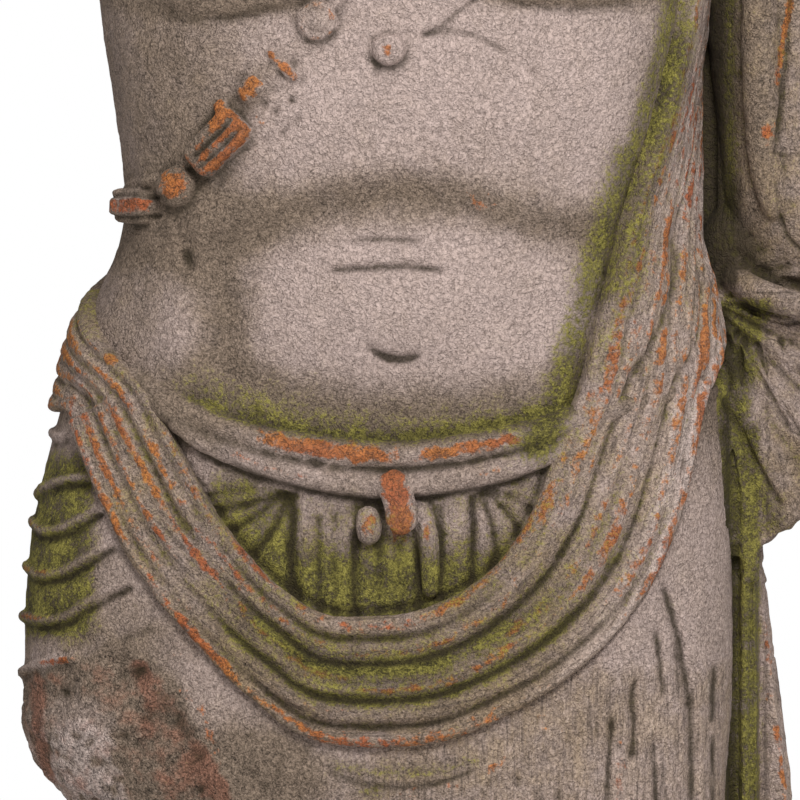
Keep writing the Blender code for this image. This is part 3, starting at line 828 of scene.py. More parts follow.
class Wire:
    """A socket of a finish, so that masks and heights are worked out as plain arithmetic."""

    def __init__(self, tree, socket=None):
        self.tree, self.socket = tree, socket

    def node(self, kind, settings=None, sockets=None, out=0):
        made = self.tree.nodes.new("ShaderNode" + kind)
        for key, value in (settings or {}).items():
            setattr(made, key, value)
        for key, value in (sockets or {}).items():
            if isinstance(value, Wire):
                self.tree.links.new(value.socket, made.inputs[key])
            else:
                made.inputs[key].default_value = value
        return Wire(self.tree, made.outputs[out] if made.outputs else None)

    def maths(self, operation, *values):
        return self.node("Math", {"operation": operation}, dict(enumerate(values)))

    def __add__(self, other):
        return self.maths("ADD", self, other)

    __radd__ = __add__

    def __sub__(self, other):
        return self.maths("SUBTRACT", self, other)

    def __rsub__(self, other):
        return self.maths("SUBTRACT", other, self)

    def __mul__(self, other):
        return self.maths("MULTIPLY", self, other)

    def between(self, low, high):
        """0 below low, 1 above high and smooth from one to the other."""
        sockets = {"Value": self, "From Min": low, "From Max": high}
        return self.node("MapRange", {"interpolation_type": "SMOOTHSTEP"}, sockets)

    def tint(self, under, over):
        """A colour that runs from under to over as this value goes from 0 to 1."""
        return self.node("Mix", {"data_type": "RGBA"}, {0: self, 6: under, 7: over}, out=2)


def stone_finish():
    stone = bpy.data.materials.new("weathered_cast_stone")
    stone.use_nodes = True
    tree = stone.node_tree
    tree.nodes.clear()
    base = Wire(tree)
    place = base.node("TexCoord", out=3)

    def noise(scale, detail=3.0, rough=0.6, where=place):
        sockets = {"Vector": where, "Scale": scale, "Detail": detail, "Roughness": rough}
        return base.node("TexNoise", {}, sockets)

    def marked(key):
        return base.node("Attribute", {"attribute_name": key}, out=2)

    blotch, patch, chip = noise(14), noise(75, 4), noise(160, 3)
    speck, grain = noise(410, 4, 0.65), noise(950, 2, 0.7)
    moss, paint, grime, brown, pale, core, cloth = [
        marked(k) for k in ("moss", "paint", "grime", "brown", "pale", "core", "cloth")
    ]
    crack = [noise(size, 2, 0.5).maths("SUBTRACT", noise(size, 2, 0.5), 0.5) for size in (170, 310)]
    crack = [line.maths("ABSOLUTE", line).between(0.0, 0.055) for line in crack]
    weave = {0: marked("cross") * 0.42, 1: marked("run") * 0.035, 2: blotch * 2.0}
    thread = noise(1.0, 3.0, 0.65, base.node("CombineXYZ", {}, weave))

    warm = brown + moss * 0.4 + (blotch - 0.5) * 0.8 + (patch - 0.5) * 0.8 + cloth * (thread - 0.5) * 1.2
    warm = warm.between(-0.15, 1.25)
    colour = warm.tint((0.54, 0.418, 0.378, 1), (0.225, 0.167, 0.124, 1))
    ochre = (cloth * 0.70 + (patch - 0.5) * 1.0 + (blotch - 0.5) * 0.6).between(0.30, 1.05)
    colour = (ochre * 0.5).tint(colour, (0.300, 0.210, 0.110, 1))
    chalk = (pale + (patch - 0.5) * 0.9 + cloth * (thread - 0.5) * 0.8).between(0.45, 0.95)
    colour = (chalk * 0.6).tint(colour, (0.64, 0.52, 0.48, 1))
    rust = (core + (patch - 0.5) * 1.1).between(0.5, 0.9)
    colour = (rust * 0.7).tint(colour, (0.25, 0.100, 0.062, 1))
    pores = (speck * 0.6 + grain * 0.5).between(0.44, 0.60)
    colour = ((1 - pores) * 0.26).tint(colour, (0.10, 0.07, 0.05, 1))
    sparkle = (grain * 0.7 + speck * 0.4).between(0.58, 0.74)
    colour = (sparkle * (1 - warm * 0.75) * 0.16).tint(colour, (0.72, 0.61, 0.56, 1))
    score = (cloth * (0.60 - thread) * 3.2).between(0.30, 0.90)
    colour = (score * 0.62).tint(colour, (0.075, 0.055, 0.04, 1))

    worn = paint + (chip - 0.5) * 1.5 + (speck - 0.5) * 0.8 + cloth * (thread - 0.5) * 0.4
    worn = worn.between(0.42, 0.76)
    red = blotch.between(0.35, 0.65).tint((0.36, 0.092, 0.030, 1), (0.46, 0.165, 0.036, 1))
    red = ((1 - pores) * 0.8).tint(red, (0.22, 0.09, 0.045, 1))
    colour = (worn * 0.9).tint(colour, red)

    growth = (moss + (patch - 0.5) * 0.9 + (speck - 0.5) * 1.5 + (grain - 0.5) * 0.6).between(0.30, 0.92)
    tuft = (patch * 0.5 + speck * 0.55 + grain * 0.3).between(0.55, 0.80)
    green = tuft.tint((0.058, 0.052, 0.013, 1), (0.240, 0.213, 0.046, 1))
    colour = (growth * 0.94).tint(colour, green)

    shade = (speck - 0.5) * 0.9 + (grain - 0.5) * 1.1 + (patch - 0.5) * 0.6
    shade = shade + (crack[0] - 0.8) * 0.07 + (crack[1] - 0.8) * 0.09
    shade = 1 + shade * (0.55 + warm * 1.1 + core * 0.8 + cloth * 0.2)
    shade = shade.maths("MAXIMUM", shade, 0.2)
    colour = base.node("VectorMath", {"operation": "SCALE"}, {0: colour, 3: shade})

    # Grime and painted shade: near black in the hollows, creases and shadow lines that the masks mark
    dirt_and_shade = (grime + (patch - 0.5) * 0.4 + (speck - 0.5) * 0.6).between(0.18, 0.95)
    colour = (dirt_and_shade * 0.88).tint(colour, (0.036, 0.027, 0.015, 1))

    height = grain * 0.5 + speck * 0.9 + patch * 0.5 + growth * (grain - 0.5) * 0.8 + cloth * thread * 0.8
    height = height + crack[0] * 0.30 + crack[1] * 0.26
    bump = base.node("Bump", {}, {"Strength": 0.9, "Distance": 0.0024, "Height": height})
    surface = {"Base Color": colour, "Roughness": 0.95, "Specular IOR Level": 0.2, "Normal": bump}
    shader = base.node("BsdfPrincipled", {}, surface)
    base.node("OutputMaterial", {}, {"Surface": shader})
    return stone


stone = stone_finish()


def dress(piece):
    """The last step of each piece: finish, and its place in the frame."""
    piece.data.materials.clear()
    piece.data.materials.append(stone)
    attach(piece, "root")
    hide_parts("torso_statue")


# Lines scored into the amulets, with their reach and depth
SCORED_LINES = (
    (AMULET_LINES[0], 2.4, 2.2),
    (AMULET_LINES[1], 2.4, 2.2),
    (AMULET_LINES[2], 2.2, 1.9),
    (AMULET_LINES[3], 2.2, 1.9),
    (((-8, 566), (-2, 567), (1, 562)), 2.2, 1.4),
)


def torso_breaks(p, normal):
    """The broken thigh, side and arm stump, lumpy with core, and the amulets' scored lines."""
    x, y, z = p.T
    inside = smooth((break_depth(x, z) - 1) / 12) * smooth((30 - y) / 30)
    side = smooth((-150 - x) / 20) * smooth((215 - z) / 20)
    stump = smooth((640 - z) / 12) * smooth((-150 - x) / 8) * smooth((z - 600) / 10)
    rough = np.maximum(np.maximum(inside, side), stump)
    scored = 1.6 * smooth(1 - np.abs(np.hypot(x + 43, z - 578) - 6.5) / 2.4)
    for line, reach, deep in SCORED_LINES:
        scored = scored + deep * near(x, z, line, reach)
    lumps = 2.2 * grit(p, 15, 11) + 1.2 * grit(p, 7, 12) + 0.6 * grit(p, 3, 13)
    return rough * lumps - scored * smooth((-20 - y) / 20)


def torso_detail(p, normal):
    """Where the torso's mesh stays fine: on the carved front between legs and chest."""
    x, y, z = p.T
    seen = smooth((25 - y) / 30) * smooth((z - 130) / 30) * smooth((620 - z) / 30)
    return seen


TORSO_TRIANGLES = 196000
torso = cast("torso", torso_forms, TORSO_TRIANGLES, torso_breaks, torso_detail)
co, _ = mesh_points(torso.data)
x, y, z = ((co - FOOT) / MM).T
ahead = smooth((20 - y) / 40)
tight, wide = read(torso, "near_hollow"), read(torso, "wide_hollow")
cavity = np.clip(tight * 1.1, 0, 1) + np.clip(wide * 0.28 - 0.1, 0, 1) * (1 - 0.6 * smooth((z - 450) / 20))

# Moss: below the damp line on the belly, along belt and scarf, on the skirt and between the hip folds
DAMP_TOP = ((-150, 392), (-108, 402), (-75, 394), (-42, 388), (2, 380))
DAMP_TOP = DAMP_TOP + ((46, 384), (79, 392), (107, 414), (114, 436))
damp_top = height_on(DAMP_TOP, x)
belt_z = height_on(BELT_UPPER, x)
on_belly = smooth((z - belt_z - 2) / 4)
moss = 0.68 * smooth((damp_top + 6 - z) / 44) * on_belly * smooth((x + 138) / 30)
moss = np.maximum(moss, 0.9 * near(x, z, shifted(BELT_UPPER, 0, 10), 6) * smooth((x + 110) / 30))
moss = np.maximum(moss, 0.82 * near(x, z, shifted(SCARF_INNER[4:9], -9, 0), 20))
moss = np.maximum(moss, 0.75 * near(x, z, shifted(SCARF_INNER[1:5], -8, 0), 13))
window = smooth((belt_z - 20 - z) / 10) * smooth((z - 236) / 8) * (np.abs(x + 10) < 92) * ahead
skirt_moss = 0.34 + 0.56 * smooth((304 - z) / 32)
skirt_moss = skirt_moss + 0.34 * smooth((-50 - x) / 12) + 0.12 * smooth((x - 50) / 12)
moss = np.maximum(moss, window * np.minimum(skirt_moss, 0.88))
hip = smooth((-158 - x) / 14) * smooth((350 - z) / 14) * smooth((z - 232) / 14)
moss = np.maximum(moss, hip * np.clip(0.8 + 0.3 * cavity, 0, 1)) * (0.25 + 0.75 * ahead)
ridges = strokes(x, z, [(fold, 4.5, 1) for fold in HIP_FOLDS]) * ahead
moss = moss * (1 - 0.5 * ridges) + 0.3 * np.clip(cavity, 0, 1) * smooth((470 - z) / 200)

# Paint: strokes on the belt, the tail, the string and the hip folds, and spots on the amulets and belly
TORSO_PAINT = (
    (((14, 340), (40, 345), (68, 350)), 6.5, 0.95),
    (((-92, 343), (-72, 335), (-50, 329)), 5, 0.62),
    (((34, 326), (50, 331), (60, 334)), 4, 0.6),
    (((16, 304), (18, 292)), 5, 0.8),
    (((-70, 561), (-62, 554), (-53, 545)), 5, 0.9),
    (((-201, 303), (-190, 302)), 5, 0.75),
    (((-205, 278), (-193, 277)), 5, 0.75),
    (((-206, 252), (-190, 252)), 5, 0.75),
    (((-195, 226), (-178, 228)), 5, 0.75),
)
PAINT_SPOTS = (
    (-146, 478, 25.5, 7.5, 1.17),
    (-122, 489, 16.5, 15, 1.014),
    (-89, 518, 28.5, 22.5, 1.3),
    (-101, 504, 22.5, 19.5, 1.17),
    (-97, 532, 9, 9, 1.17),
    (-78, 546, 7.5, 7.5, 1.17),
    (-82, 539, 9, 9, 1.17),
    (-4, 563, 12, 10.5, 0.65),
    (-15, 303, 9, 12, 1.1),
    (45, 477, 30, 17, 0.44),
    (88, 486, 16, 9, 0.38),
)
LOW_PAINT = (
    (((-116, 212), (-108, 204), (-103, 192), (-98, 178)), 7, 0.6),
    (((-127, 232), (-118, 226), (-110, 220)), 6, 0.6),
    (((61, 178), (56, 172), (49, 166)), 6, 0.7),
    (((83, 189), (80, 196)), 6, 0.6),
    (((123, 184), (123, 150)), 6, 0.5),
)
disc_rim = smooth(1 - np.abs(np.hypot(x + 43, z - 578) - 9.5) / 3.4)
belt_paint = near(x, z, BELT_UPPER[3:8], 11) * smooth((x + 84) / 14) * smooth((6 - x) / 6)
paint = np.maximum(strokes(x, z, TORSO_PAINT), 0.6 * disc_rim)
paint = np.maximum(paint, 0.95 * belt_paint)
paint = np.maximum(paint, 1.25 * near(x, z, ((-2, 331), (0, 318), (3, 299)), 12) * (z < 333))
for spot in PAINT_SPOTS:
    paint = np.maximum(paint, spots(x, z, [spot]))
paint = paint * smooth((0.5 - tight) / 0.5)
paint = np.maximum(paint, strokes(x, z, LOW_PAINT))
for spot in ((8, 157, 13, 7, 0.7), (32, 160, 10, 5, 0.66)):
    paint = np.maximum(paint, spots(x, z, [spot]))
paint = paint * ahead

# Rough core on the broken thigh, red in places, and the stained cloth beside it
broken_face = smooth(break_depth(x, z) / 5) * ahead
dark_cloth = mound(x, z, -84, 170, 62, 50) * ahead
dark_core = mound(x, z, -134, 190, 34, 60) * broken_face
pale_core = mound(x, z, -170, 182, 36, 58) * broken_face
CORE_LINES = (
    (((-197, 224), (-197, 190), (-190, 150)), 12, 0.95),
    (((-140, 226), (-135, 208), (-138, 186)), 12, 0.95),
    (((-110, 205), (-105, 185), (-102, 160)), 10, 0.9),
)
core = np.maximum(0.58 * broken_face + 0.42 * dark_cloth, strokes(x, z, CORE_LINES) * broken_face)

# Brown: stain, and painted shade under the ribs, down the right flank, under the chest and beside the
# scarf; stain on the belt and the robe's front
RIB_SHADE = ((-150, 458), (-80, 468), (-36, 478), (0, 482), (36, 480), (80, 469), (150, 458))
BROWN_SPOTS = (
    (10, 497, 120, 26, 0.2),
    (-117, 408, 38, 66, -0.5),
    (-88, 468, 62, 46, 0.3),
    (-126, 388, 34, 30, -0.25),
    (-95, 418, 27, 56, 0.65),
    (-110, 378, 40, 24, 0.35),
    (-146, 238, 50, 34, 0.35),
)
# The right flank darker towards its side: stain and painted shade where the body turns from the light
flank = 0.85 * smooth((-50 - x) / 72) - 0.30 * smooth((-132 - x) / 22)
brown = 0.18 + flank * smooth((z - 330) / 30) + 0.85 * near(x, z, RIB_SHADE, 24) * ahead
brown = brown + spots(x, z, BROWN_SPOTS) + 0.30 * smooth((x - 112) / 34) * smooth((z - 300) / 60)
brown = brown + 0.4 * near(x, z, ((-118, 476), (-116, 459), (-113, 440)), 16)
brown = brown + broken_face * (0.3 + 0.35 * smooth((z - 196) / 20))
# Painted shade under the lower edge of the chest
brown = brown + 0.9 * smooth((z - 576) / 12) * near(x, z, ((-153, 602), (-94, 586), (-50, 596)), 22)
brown = brown + 0.8 * smooth((z - 580) / 12) * near(x, z, ((50, 598), (96, 590), (142, 598)), 18)
brown = brown + 0.88 * smooth((damp_top + 10 - z) / 30) * on_belly * smooth((x + 138) / 40)
brown = brown + 0.7 * dark_cloth + 0.4 * dark_core - 0.3 * pale_core
brown = brown + 0.25 * smooth((-90 - x) / 40) * smooth((300 - z) / 40) * smooth((z - 150) / 30)
below = smooth((belt_z + 10 - z) / 6)
skirt = 0.22 + 0.22 * window - 0.35 * window * smooth((z - 292) / 10) * smooth((66 - np.abs(x)) / 10)
skirt = skirt + 0.45 * hip - 0.25 * smooth((-60 - x) / 30) * smooth((z - 325) / 20)
brown = np.where(ahead > 0.5, brown + below * skirt, 0.5)
brown = brown - 0.18 * ridges + spots(x, z, ((84, 352, 34, 44, -0.45), (98, 404, 28, 46, -0.3)))
brown = brown + spots(x, z, ((-46, 290, 16, 26, 0.3), (8, 162, 70, 20, 0.35))) * ahead
# Painted shadow beside the scarf's inner edge, then more painted shade under the chest's left side
brown = brown + 0.35 * near(x, z, ((128, 484), (122, 430), (118, 395)), 13)
brown = brown + 0.4 * smooth((z - 580) / 8) * near(x, z, ((60, 592), (90, 594), (120, 596)), 16)
on_belt = smooth((belt_z + 9 - z) / 4) * smooth((z - belt_z + 27) / 5) * ahead
on_belt = on_belt * (0.7 + 0.5 * grit(np.column_stack([x, 0 * x, z]), 13, 41))
foot_stain = (0.55 * smooth((-20 - x) / 50) + 0.15 * smooth((50 - x) / 40)) * smooth((196 - z) / 24)
brown = brown + 0.34 * on_belt + (0.25 * near(x, z, CORD[:7], 15) + foot_stain) * ahead
under_swag = ((-34, 170), (-9, 168), (22, 169), (44, 174))
moss = moss + 0.22 * on_belt * smooth((x - 34) / 20)
moss = np.maximum(moss, 0.62 * near(x, z, under_swag, 7) * ahead)
moss = np.maximum(moss, 0.75 * mound(x, z, -13, 157, 14, 8) * ahead)
pale = 0.35 * smooth((x + 60) / 60) * smooth((120 - x) / 40) * (1 - below)
chalk = 0.2 + 0.6 * smooth((-135 - x) / 20) * smooth((200 - z) / 14)
pale = pale + broken_face * (chalk * smooth(0.6 - tight * 2) + 0.25 * mound(x, z, -160, 150, 50, 30))
pale = pale + 0.45 * pale_core - 0.6 * dark_core
pale = pale + 0.42 * smooth((x - 70) / 50) * smooth((330 - z) / 40) * ahead

# Grime and painted shade: in every hollow, and first of all in the carved lines
# Dark lines of grime and painted shade: the belt's crease, the groove along the scarf's inner edge, the
# belly's creases and the navel
DARK_LINES = (
    (BELT_CREASE, 3.6, 0.6),
    (SCARF_INNER[:6], 5.5, 0.9),
    (SCARF_INNER[5:9], 4, 0.6),
    (shifted(SCARF_INNER[4:7], -4, 0), 7, 0.5),
    (SCARF_INNER[8:], 3.5, 0.7),
    (((-24, 458), (-6, 459), (13, 458)), 3.0, 0.95),
    (((-34, 442), (-14, 443), (5, 444), (24, 442)), 4.0, 0.95),
    (((-14, 399), (-2, 393), (11, 395)), 4.2, 0.95),
)
# Painted shadow lines: under the belt's lower roll and under both sides of the chest
SHADOW_LINES = (
    (((-100, 345), (-80, 332), (-53, 323), (-25, 318),
      (2, 317), (30, 320), (57, 325), (79, 332)), 3.6, 0.75),
    (((-141, 588), (-123, 580), (-95, 580), (-66, 588)), 3.6, 0.85),
    (((57, 591), (82, 585), (112, 584), (140, 589)), 3.6, 0.6),
)
grime = np.clip(cavity, 0, 1.1) * (1 - 0.6 * near(x, z, shifted(BELT_UPPER, 0, 8), 6))
grime = np.maximum(grime, strokes(x, z, DARK_LINES) * ahead) + 0.30 * dark_cloth + 0.25 * dark_core
# Painted shade in the skirt's pleats, the robe's cuts and under each hip fold
pleat_shade = [(line, 0.85 * reach, min(0.95, 0.27 * deep)) for line, reach, deep in PLEATS]
pleat_shade = pleat_shade + [(line, reach, 0.08 * deep) for line, reach, deep in PLEATS]
robe_cut_shade = [(line, 0.64 * reach, min(1.1, 0.42 * deep)) for line, reach, deep in ROBE_CUTS]
hip_fold_shade = [(shifted(fold, 1, -5), 3.4, 0.9) for fold in HIP_FOLDS]
grime = np.maximum(grime, strokes(x, z, pleat_shade) * window)
grime = np.maximum(grime, strokes(x, z, robe_cut_shade + hip_fold_shade) * ahead)
grime = grime * (1 - 0.5 * mound(x, z, 84, 352, 34, 44)) * (1 - 0.4 * mound(x, z, 98, 404, 28, 46))
# Grime and painted shade in the amulets' scored lines and the pits beside the string
engraved = strokes(x, z, [(line, 3.2, 0.85) for line in AMULET_LINES])
for px, pz, deep in CHEST_PITS:
    engraved = np.maximum(engraved, (0.5 + 0.15 * deep) * mound(x, z, px, pz, 4.6, 5))
grime = np.maximum(grime, np.maximum(strokes(x, z, SHADOW_LINES), engraved) * ahead)

robe = np.maximum(smooth((245 - z) / 30) * (1 - broken_face) * smooth((x + 60) / 60), 0.8 * window) * ahead
cloth = np.maximum(robe, 0.6 * smooth((-150 - x) / 20) * smooth((350 - z) / 20) * (1 - broken_face))
mark(torso, moss=moss, paint=paint, grime=grime, brown=brown, pale=pale, core=core)
mark(torso, cloth=cloth, run=z, cross=x)
dress(torso)

# The scarf's own skin, finer than the torso's: paint is left on the tops of its folds, worn through in
# dashes, and moss, grime and painted shade lie between them. It is one with the torso's casting.
SCARF_TRIANGLES = 196000
# Strokes of old paint along its folds: the line, its reach and its strength
SCARF_PAINT = (
    (((-163, 322), (-144, 292), (-127, 264), (-105, 237), (-86, 217),
      (-61, 200), (-36, 185), (2, 183), (30, 190), (57, 200)), 9, 0.66),
    (((-157, 371), (-146, 344), (-135, 327), (-122, 305), (-94, 270),
      (-64, 237), (-31, 217), (2, 213), (52, 228), (68, 248)), 8, 0.78),
    (((-152, 304), (-138, 283), (-127, 267), (-113, 247), (-92, 226)), 9, 0.95),
    (((-144, 371), (-127, 338), (-108, 305), (-83, 272), (-58, 250),
      (-20, 231), (24, 237), (57, 261), (82, 294)), 7, 0.72),
    (((-127, 355), (-108, 316), (-80, 283), (-53, 258), (-14, 246),
      (24, 255), (57, 283), (90, 333), (107, 371)), 6, 0.62),
    (((167, 388), (167, 371), (166, 344), (163, 327), (156, 311), (152, 300),
      (142, 267), (134, 250), (119, 226), (90, 184), (57, 168)), 7, 0.95),
    (((148, 426), (148, 404), (147, 382)), 7, 0.9),
    (((159, 410), (158, 393)), 6, 0.85),
    (((169, 421), (169, 393)), 6, 0.85),
    (((134, 355), (128, 336), (120, 322), (112, 300)), 8, 0.85),
    (((123, 404), (118, 380)), 7, 0.8),
    (((-182, 399), (-178, 385)), 9, 0.9),
    (((-168, 388), (-157, 393)), 10, 0.9),
    (((-160, 371), (-149, 344)), 8, 0.95),
    (((-177, 371), (-166, 355)), 7, 0.9),
)
scarf = cast("scarf", scarf_forms, SCARF_TRIANGLES)
tree = kdtree.KDTree(ALONG * ACROSS)
for index, point in enumerate(scarf_top.reshape(-1, 3).tolist()):
    tree.insert(point, index)
tree.balance()
co, _ = mesh_points(scarf.data)
p = (co - FOOT) / MM
x, y, z = p.T
nearest = np.array([tree.find(point)[1] for point in p.tolist()])
run, cross, across, crest, crease_shade = scarf_place.reshape(-1, 5)[nearest].T
tight, wide = read(scarf, "near_hollow"), read(scarf, "wide_hollow")
cavity = np.clip(tight * 0.9, 0, 1) + np.clip(wide * 0.22 - 0.05, 0, 0.8)
ahead = smooth((30 - y) / 40)
dash = grit(np.column_stack([run, cross * 3, 0 * run]), 26, 21)
hip_side = smooth((-60 - x) / 40)
paint = smooth((crest - 0.3) / 0.5) * (0.59 + 0.28 * dash + 0.05 * hip_side)
paint = np.maximum(paint, strokes(x, z, SCARF_PAINT) * (0.9 + 0.4 * dash) * ahead)
paint = paint * smooth((0.45 - tight) / 0.6)
swag = smooth((290 - z) / 50) * smooth((115 - np.abs(x)) / 30)
high_edge = smooth((0.30 - across) / 0.2) * smooth((z - 400) / 40) * smooth((590 - z) / 30)
left_turn = mound(x, z, 107, 289, 62, 62)
damp = 0.42 * smooth(1 - np.abs(across - 0.41) / 0.09) + 0.30 * smooth(1 - np.abs(across - 0.66) / 0.09)
moss = 0.18 + 0.34 * np.clip(cavity, 0, 1) + swag * (damp + 0.22 * smooth((0.9 - across) / 0.3))
moss = moss + 0.22 * near(x, z, ((-50, 232), (-20, 220), (20, 222)), 24) * ahead
dry_edge = 0.18 - 0.75 * smooth((262 - z) / 20) * smooth((90 - np.abs(x)) / 20)
moss = moss + smooth((0.16 - across) / 0.1) * dry_edge - 0.12 * smooth((across - 0.8) / 0.15)
moss = moss + 0.30 * high_edge + 0.20 * left_turn + 0.04 * hip_side * smooth((390 - z) / 40)
moss = moss + 0.25 * near(x, z, ((160, 600), (150, 560), (138, 520)), 16)
brown = 0.46 - 0.26 * smooth((x - 60) / 60) + 0.4 * high_edge + 0.3 * left_turn + 0.30 * swag
brown = brown + hip_side * (0.04 + 0.25 * smooth((330 - z) / 30))
brown = brown + 0.2 * grit(p, 40, 22) + 0.1 * (1 - crest)
pale = 0.30 * smooth((across - 0.6) / 0.3) * smooth((x - 40) / 60) + 0.36 * crest
pale = pale + 0.2 * smooth((x - 60) / 40) + 0.12 * hip_side + 0.35 * mound(x, z, 168, 350, 24, 46)
# Grime in the hollows, and painted shade off the crests and in the creases
grime = 0.4 * np.clip(cavity, 0, 1.2) + 0.14 * (1 - crest) * ahead
grime = np.maximum(grime, (1.0 - 0.25 * hip_side) * crease_shade * ahead)
mark(scarf, moss=moss * (0.4 + 0.6 * ahead), paint=paint, grime=grime, brown=brown, pale=pale, core=0)
mark(scarf, cloth=1.0, run=run, cross=cross)
dress(scarf)

# The draped arm: upper arm and elbow under the robe, the sleeve hanging below it broken off at its foot,
# and beside the legs the robe's edge falling in a cascade. One with the torso in the casting.
ARM = (
    (60, 2, 712),
    (120, 2, 694),
    (178, 4, 668),
    (208, 6, 620),
    (216, 8, 560),
    (220, 8, 505),
    (222, 6, 468),
    (218, 10, 434),
)
arm_forms = [roll(ARM, (26, 34, 44, 46, 43, 41, 41, 30), 90)]
FRONT_FOLD = ((197, -30, 676), (200, -33, 600), (201, -32, 540), (204, -30, 500), (212, -28, 470))
arm_forms.append(roll(FRONT_FOLD, (6, 9, 10, 10, 8), 30))
arm_forms.append(roll(((182, -8, 440), (200, -24, 431), (222, -33, 424), (252, -20, 430)), (7, 9, 8, 6)))
turns = np.radians(np.arange(0, 360, 0.8))
rings = []
for share in np.linspace(0, 1, 150):
    z = 482 - share * 192
    narrow = 14 * (1 - min(1, share * 7)) ** 2
    half_x, half_y = 47 - narrow, 36 - 6 * share - narrow
    x = 214 + half_x * np.sign(np.sin(turns)) * np.abs(np.sin(turns)) ** 0.8
    y = 16 - half_y * np.sign(np.cos(turns)) * np.abs(np.cos(turns)) ** 0.8
    z = z + share * np.clip(x - 200, -20, 60) * 0.62
    spoke = np.arctan2(426 - z, x - 170)
    y = y + 2.4 * np.cos(spoke * 21) * smooth(share * 6 - 0.6) * np.sign(y - 16)
    rings.append(np.column_stack([x, y, z]))
arm_forms.append(loft(rings))
WEB = ((120, 14), (196, 14), (214, 30), (192, 58), (120, 66))
arm_forms.append(loft([[(x, y, z) for x, y in WEB] for z in np.linspace(300, 680, 60)]))
arm_forms.append(roll(((182, 8, 670), (183, 6, 560), (182, 4, 440)), (5, 5, 5)))
rings = []
for z in np.linspace(-ROOT, 470, 160):
    out = np.interp(z, [0, 151, 289, 470], [225, 220, 203, 198])
    ridge = np.interp(z, [0, 316, 371], [196, 195, 186])
    sink = 34 * smooth((z - 366) / 60) - 9 * smooth((z - 235) / 50)
    plan = ((120, -30 + 2 * sink), (182, -14 + sink), (188, 6 + sink / 2), (ridge - 4, -6 + sink))
    plan = plan + ((ridge + 4, -4 + sink), (ridge + 6, 14 + sink / 3), (out - 4, 10 + sink / 2))
    plan = plan + ((out, 22), (out - 3, 36), (out - 12, 46), (out - 26, 52), (150, 56), (120, 50))
    rings.append([(x, y, z) for x, y in plan])
arm_forms.append(loft(rings))


SLEEVE_CUTS = (
    (((217, 592), (216, 570), (212, 530), (210, 508)), 2.4, 2.0),
    (((206, 507), (214, 506), (224, 506)), 2.2, 1.2),
    (((210, 490), (212, 473), (216, 460), (224, 453)), 2.6, 2.2),
    (((188, 452), (196, 446), (208, 439), (224, 434)), 5.0, 2.4),
    (((181, 372), (189, 356), (197, 338), (204, 326), (212, 314)), 3.4, 3.0),
    (((192, 404), (196, 394), (200, 385), (208, 371), (216, 356)), 2.8, 2.2),
    (((199, 402), (208, 380), (222, 352)), 2.6, 1.9),
    (((212, 404), (224, 384)), 2.6, 1.6),
    (((188, 408), (190, 394), (192, 380)), 2.6, 2.4),
    (((196, 420), (210, 414), (224, 414)), 2.0, 1.8),
    (((187.5, 290), (185.4, 239), (184.4, 206), (187, 151), (188, -10)), 3.6, 3.2),
    (((197.4, 270), (196.9, 206), (197.4, 151), (199, -10)), 3.2, 2.8),
    (((203, 240), (205, 226), (204, 212)), 2.6, 1.6),
    (((206, 196), (208, 182), (206, 168)), 2.6, 1.6),
    (((204, 180), (206, 164), (203, 150)), 2.6, 1.6),
)


def sleeve_cuts(p, normal):
    """The sleeve's creases and the ragged break at its foot."""
    x, y, z = p.T
    ahead = smooth((10 - y) / 16)
    rise = 0.0
    for line, reach, deep in SLEEVE_CUTS:
        rise = rise - deep * near(x, z, line, reach) * ahead
    foot = np.interp(x, (190, 211, 222, 261), (290, 296, 306, 330))
    rough = smooth((foot + 14 - z) / 8) * (x > 186) * (z > 270)
    return rise + rough * (1.8 * grit(p, 9, 14) + 1.2 * grit(p, 4.5, 15))


ARM_TRIANGLES = 150000
draped_arm = cast("draped_arm", arm_forms, ARM_TRIANGLES, sleeve_cuts)
co, _ = mesh_points(draped_arm.data)
p = (co - FOOT) / MM
x, y, z = p.T
tight, wide = read(draped_arm, "near_hollow"), read(draped_arm, "wide_hollow")
cavity = np.clip(tight, 0, 1) + np.clip(wide * 0.28 - 0.05, 0, 1)
ahead = smooth((40 - y) / 40)
upper = smooth((z - 430) / 20)
fall = smooth((300 - z) / 20) * ahead
recess = smooth((191 - x) / 5) * smooth((z - 424) / 14)
cord_line = near(x, z, ((184, 600), (184, 520), (185, 460)), 5) * smooth((8 - y) / 6)
ARM_PAINT = (
    (((218, 595), (215, 580), (212, 558), (210, 546)), 4, 0.95),
    (((203, 248), (206, 233), (208, 219)), 5, 0.8),
    (((207, 209), (208, 199)), 5, 0.8),
    (((210, 190), (213, 170), (215, 150)), 5, 0.8),
)
paint = np.maximum(strokes(x, z, ARM_PAINT), mound(x, z, 205, 519, 9, 13)) * ahead
moss = 0.14 + 0.3 * recess + 0.4 * cord_line + 0.3 * np.clip(cavity, 0, 1)
moss = np.maximum(moss, 0.8 * smooth((432 - z) / 10) * smooth((204 - x - 0.16 * (372 - z)) / 12))
moss = np.maximum(moss, 0.72 * near(x, z, ((181, 372), (190, 352), (198, 330), (208, 305)), 17))
moss = np.maximum(moss, 0.85 * smooth((205 - x) / 6) * smooth((372 - z) / 20))
moss = np.where(x > 205, moss * (1 - 0.6 * fall), moss)
moss = moss + 0.25 * near(x, z, ((186, 428), (200, 422), (214, 418)), 8)
ARM_SHADE = (
    (((188, 455), (196, 448), (208, 441), (224, 436)), 13, 0.55),
    (((191, 590), (190, 520), (192, 470), (198, 455)), 9, 0.5),
    (((181, 420), (183, 400), (186, 384)), 8, 1),
    (((187, 490), (188, 468), (194, 451)), 11, 0.85),
)
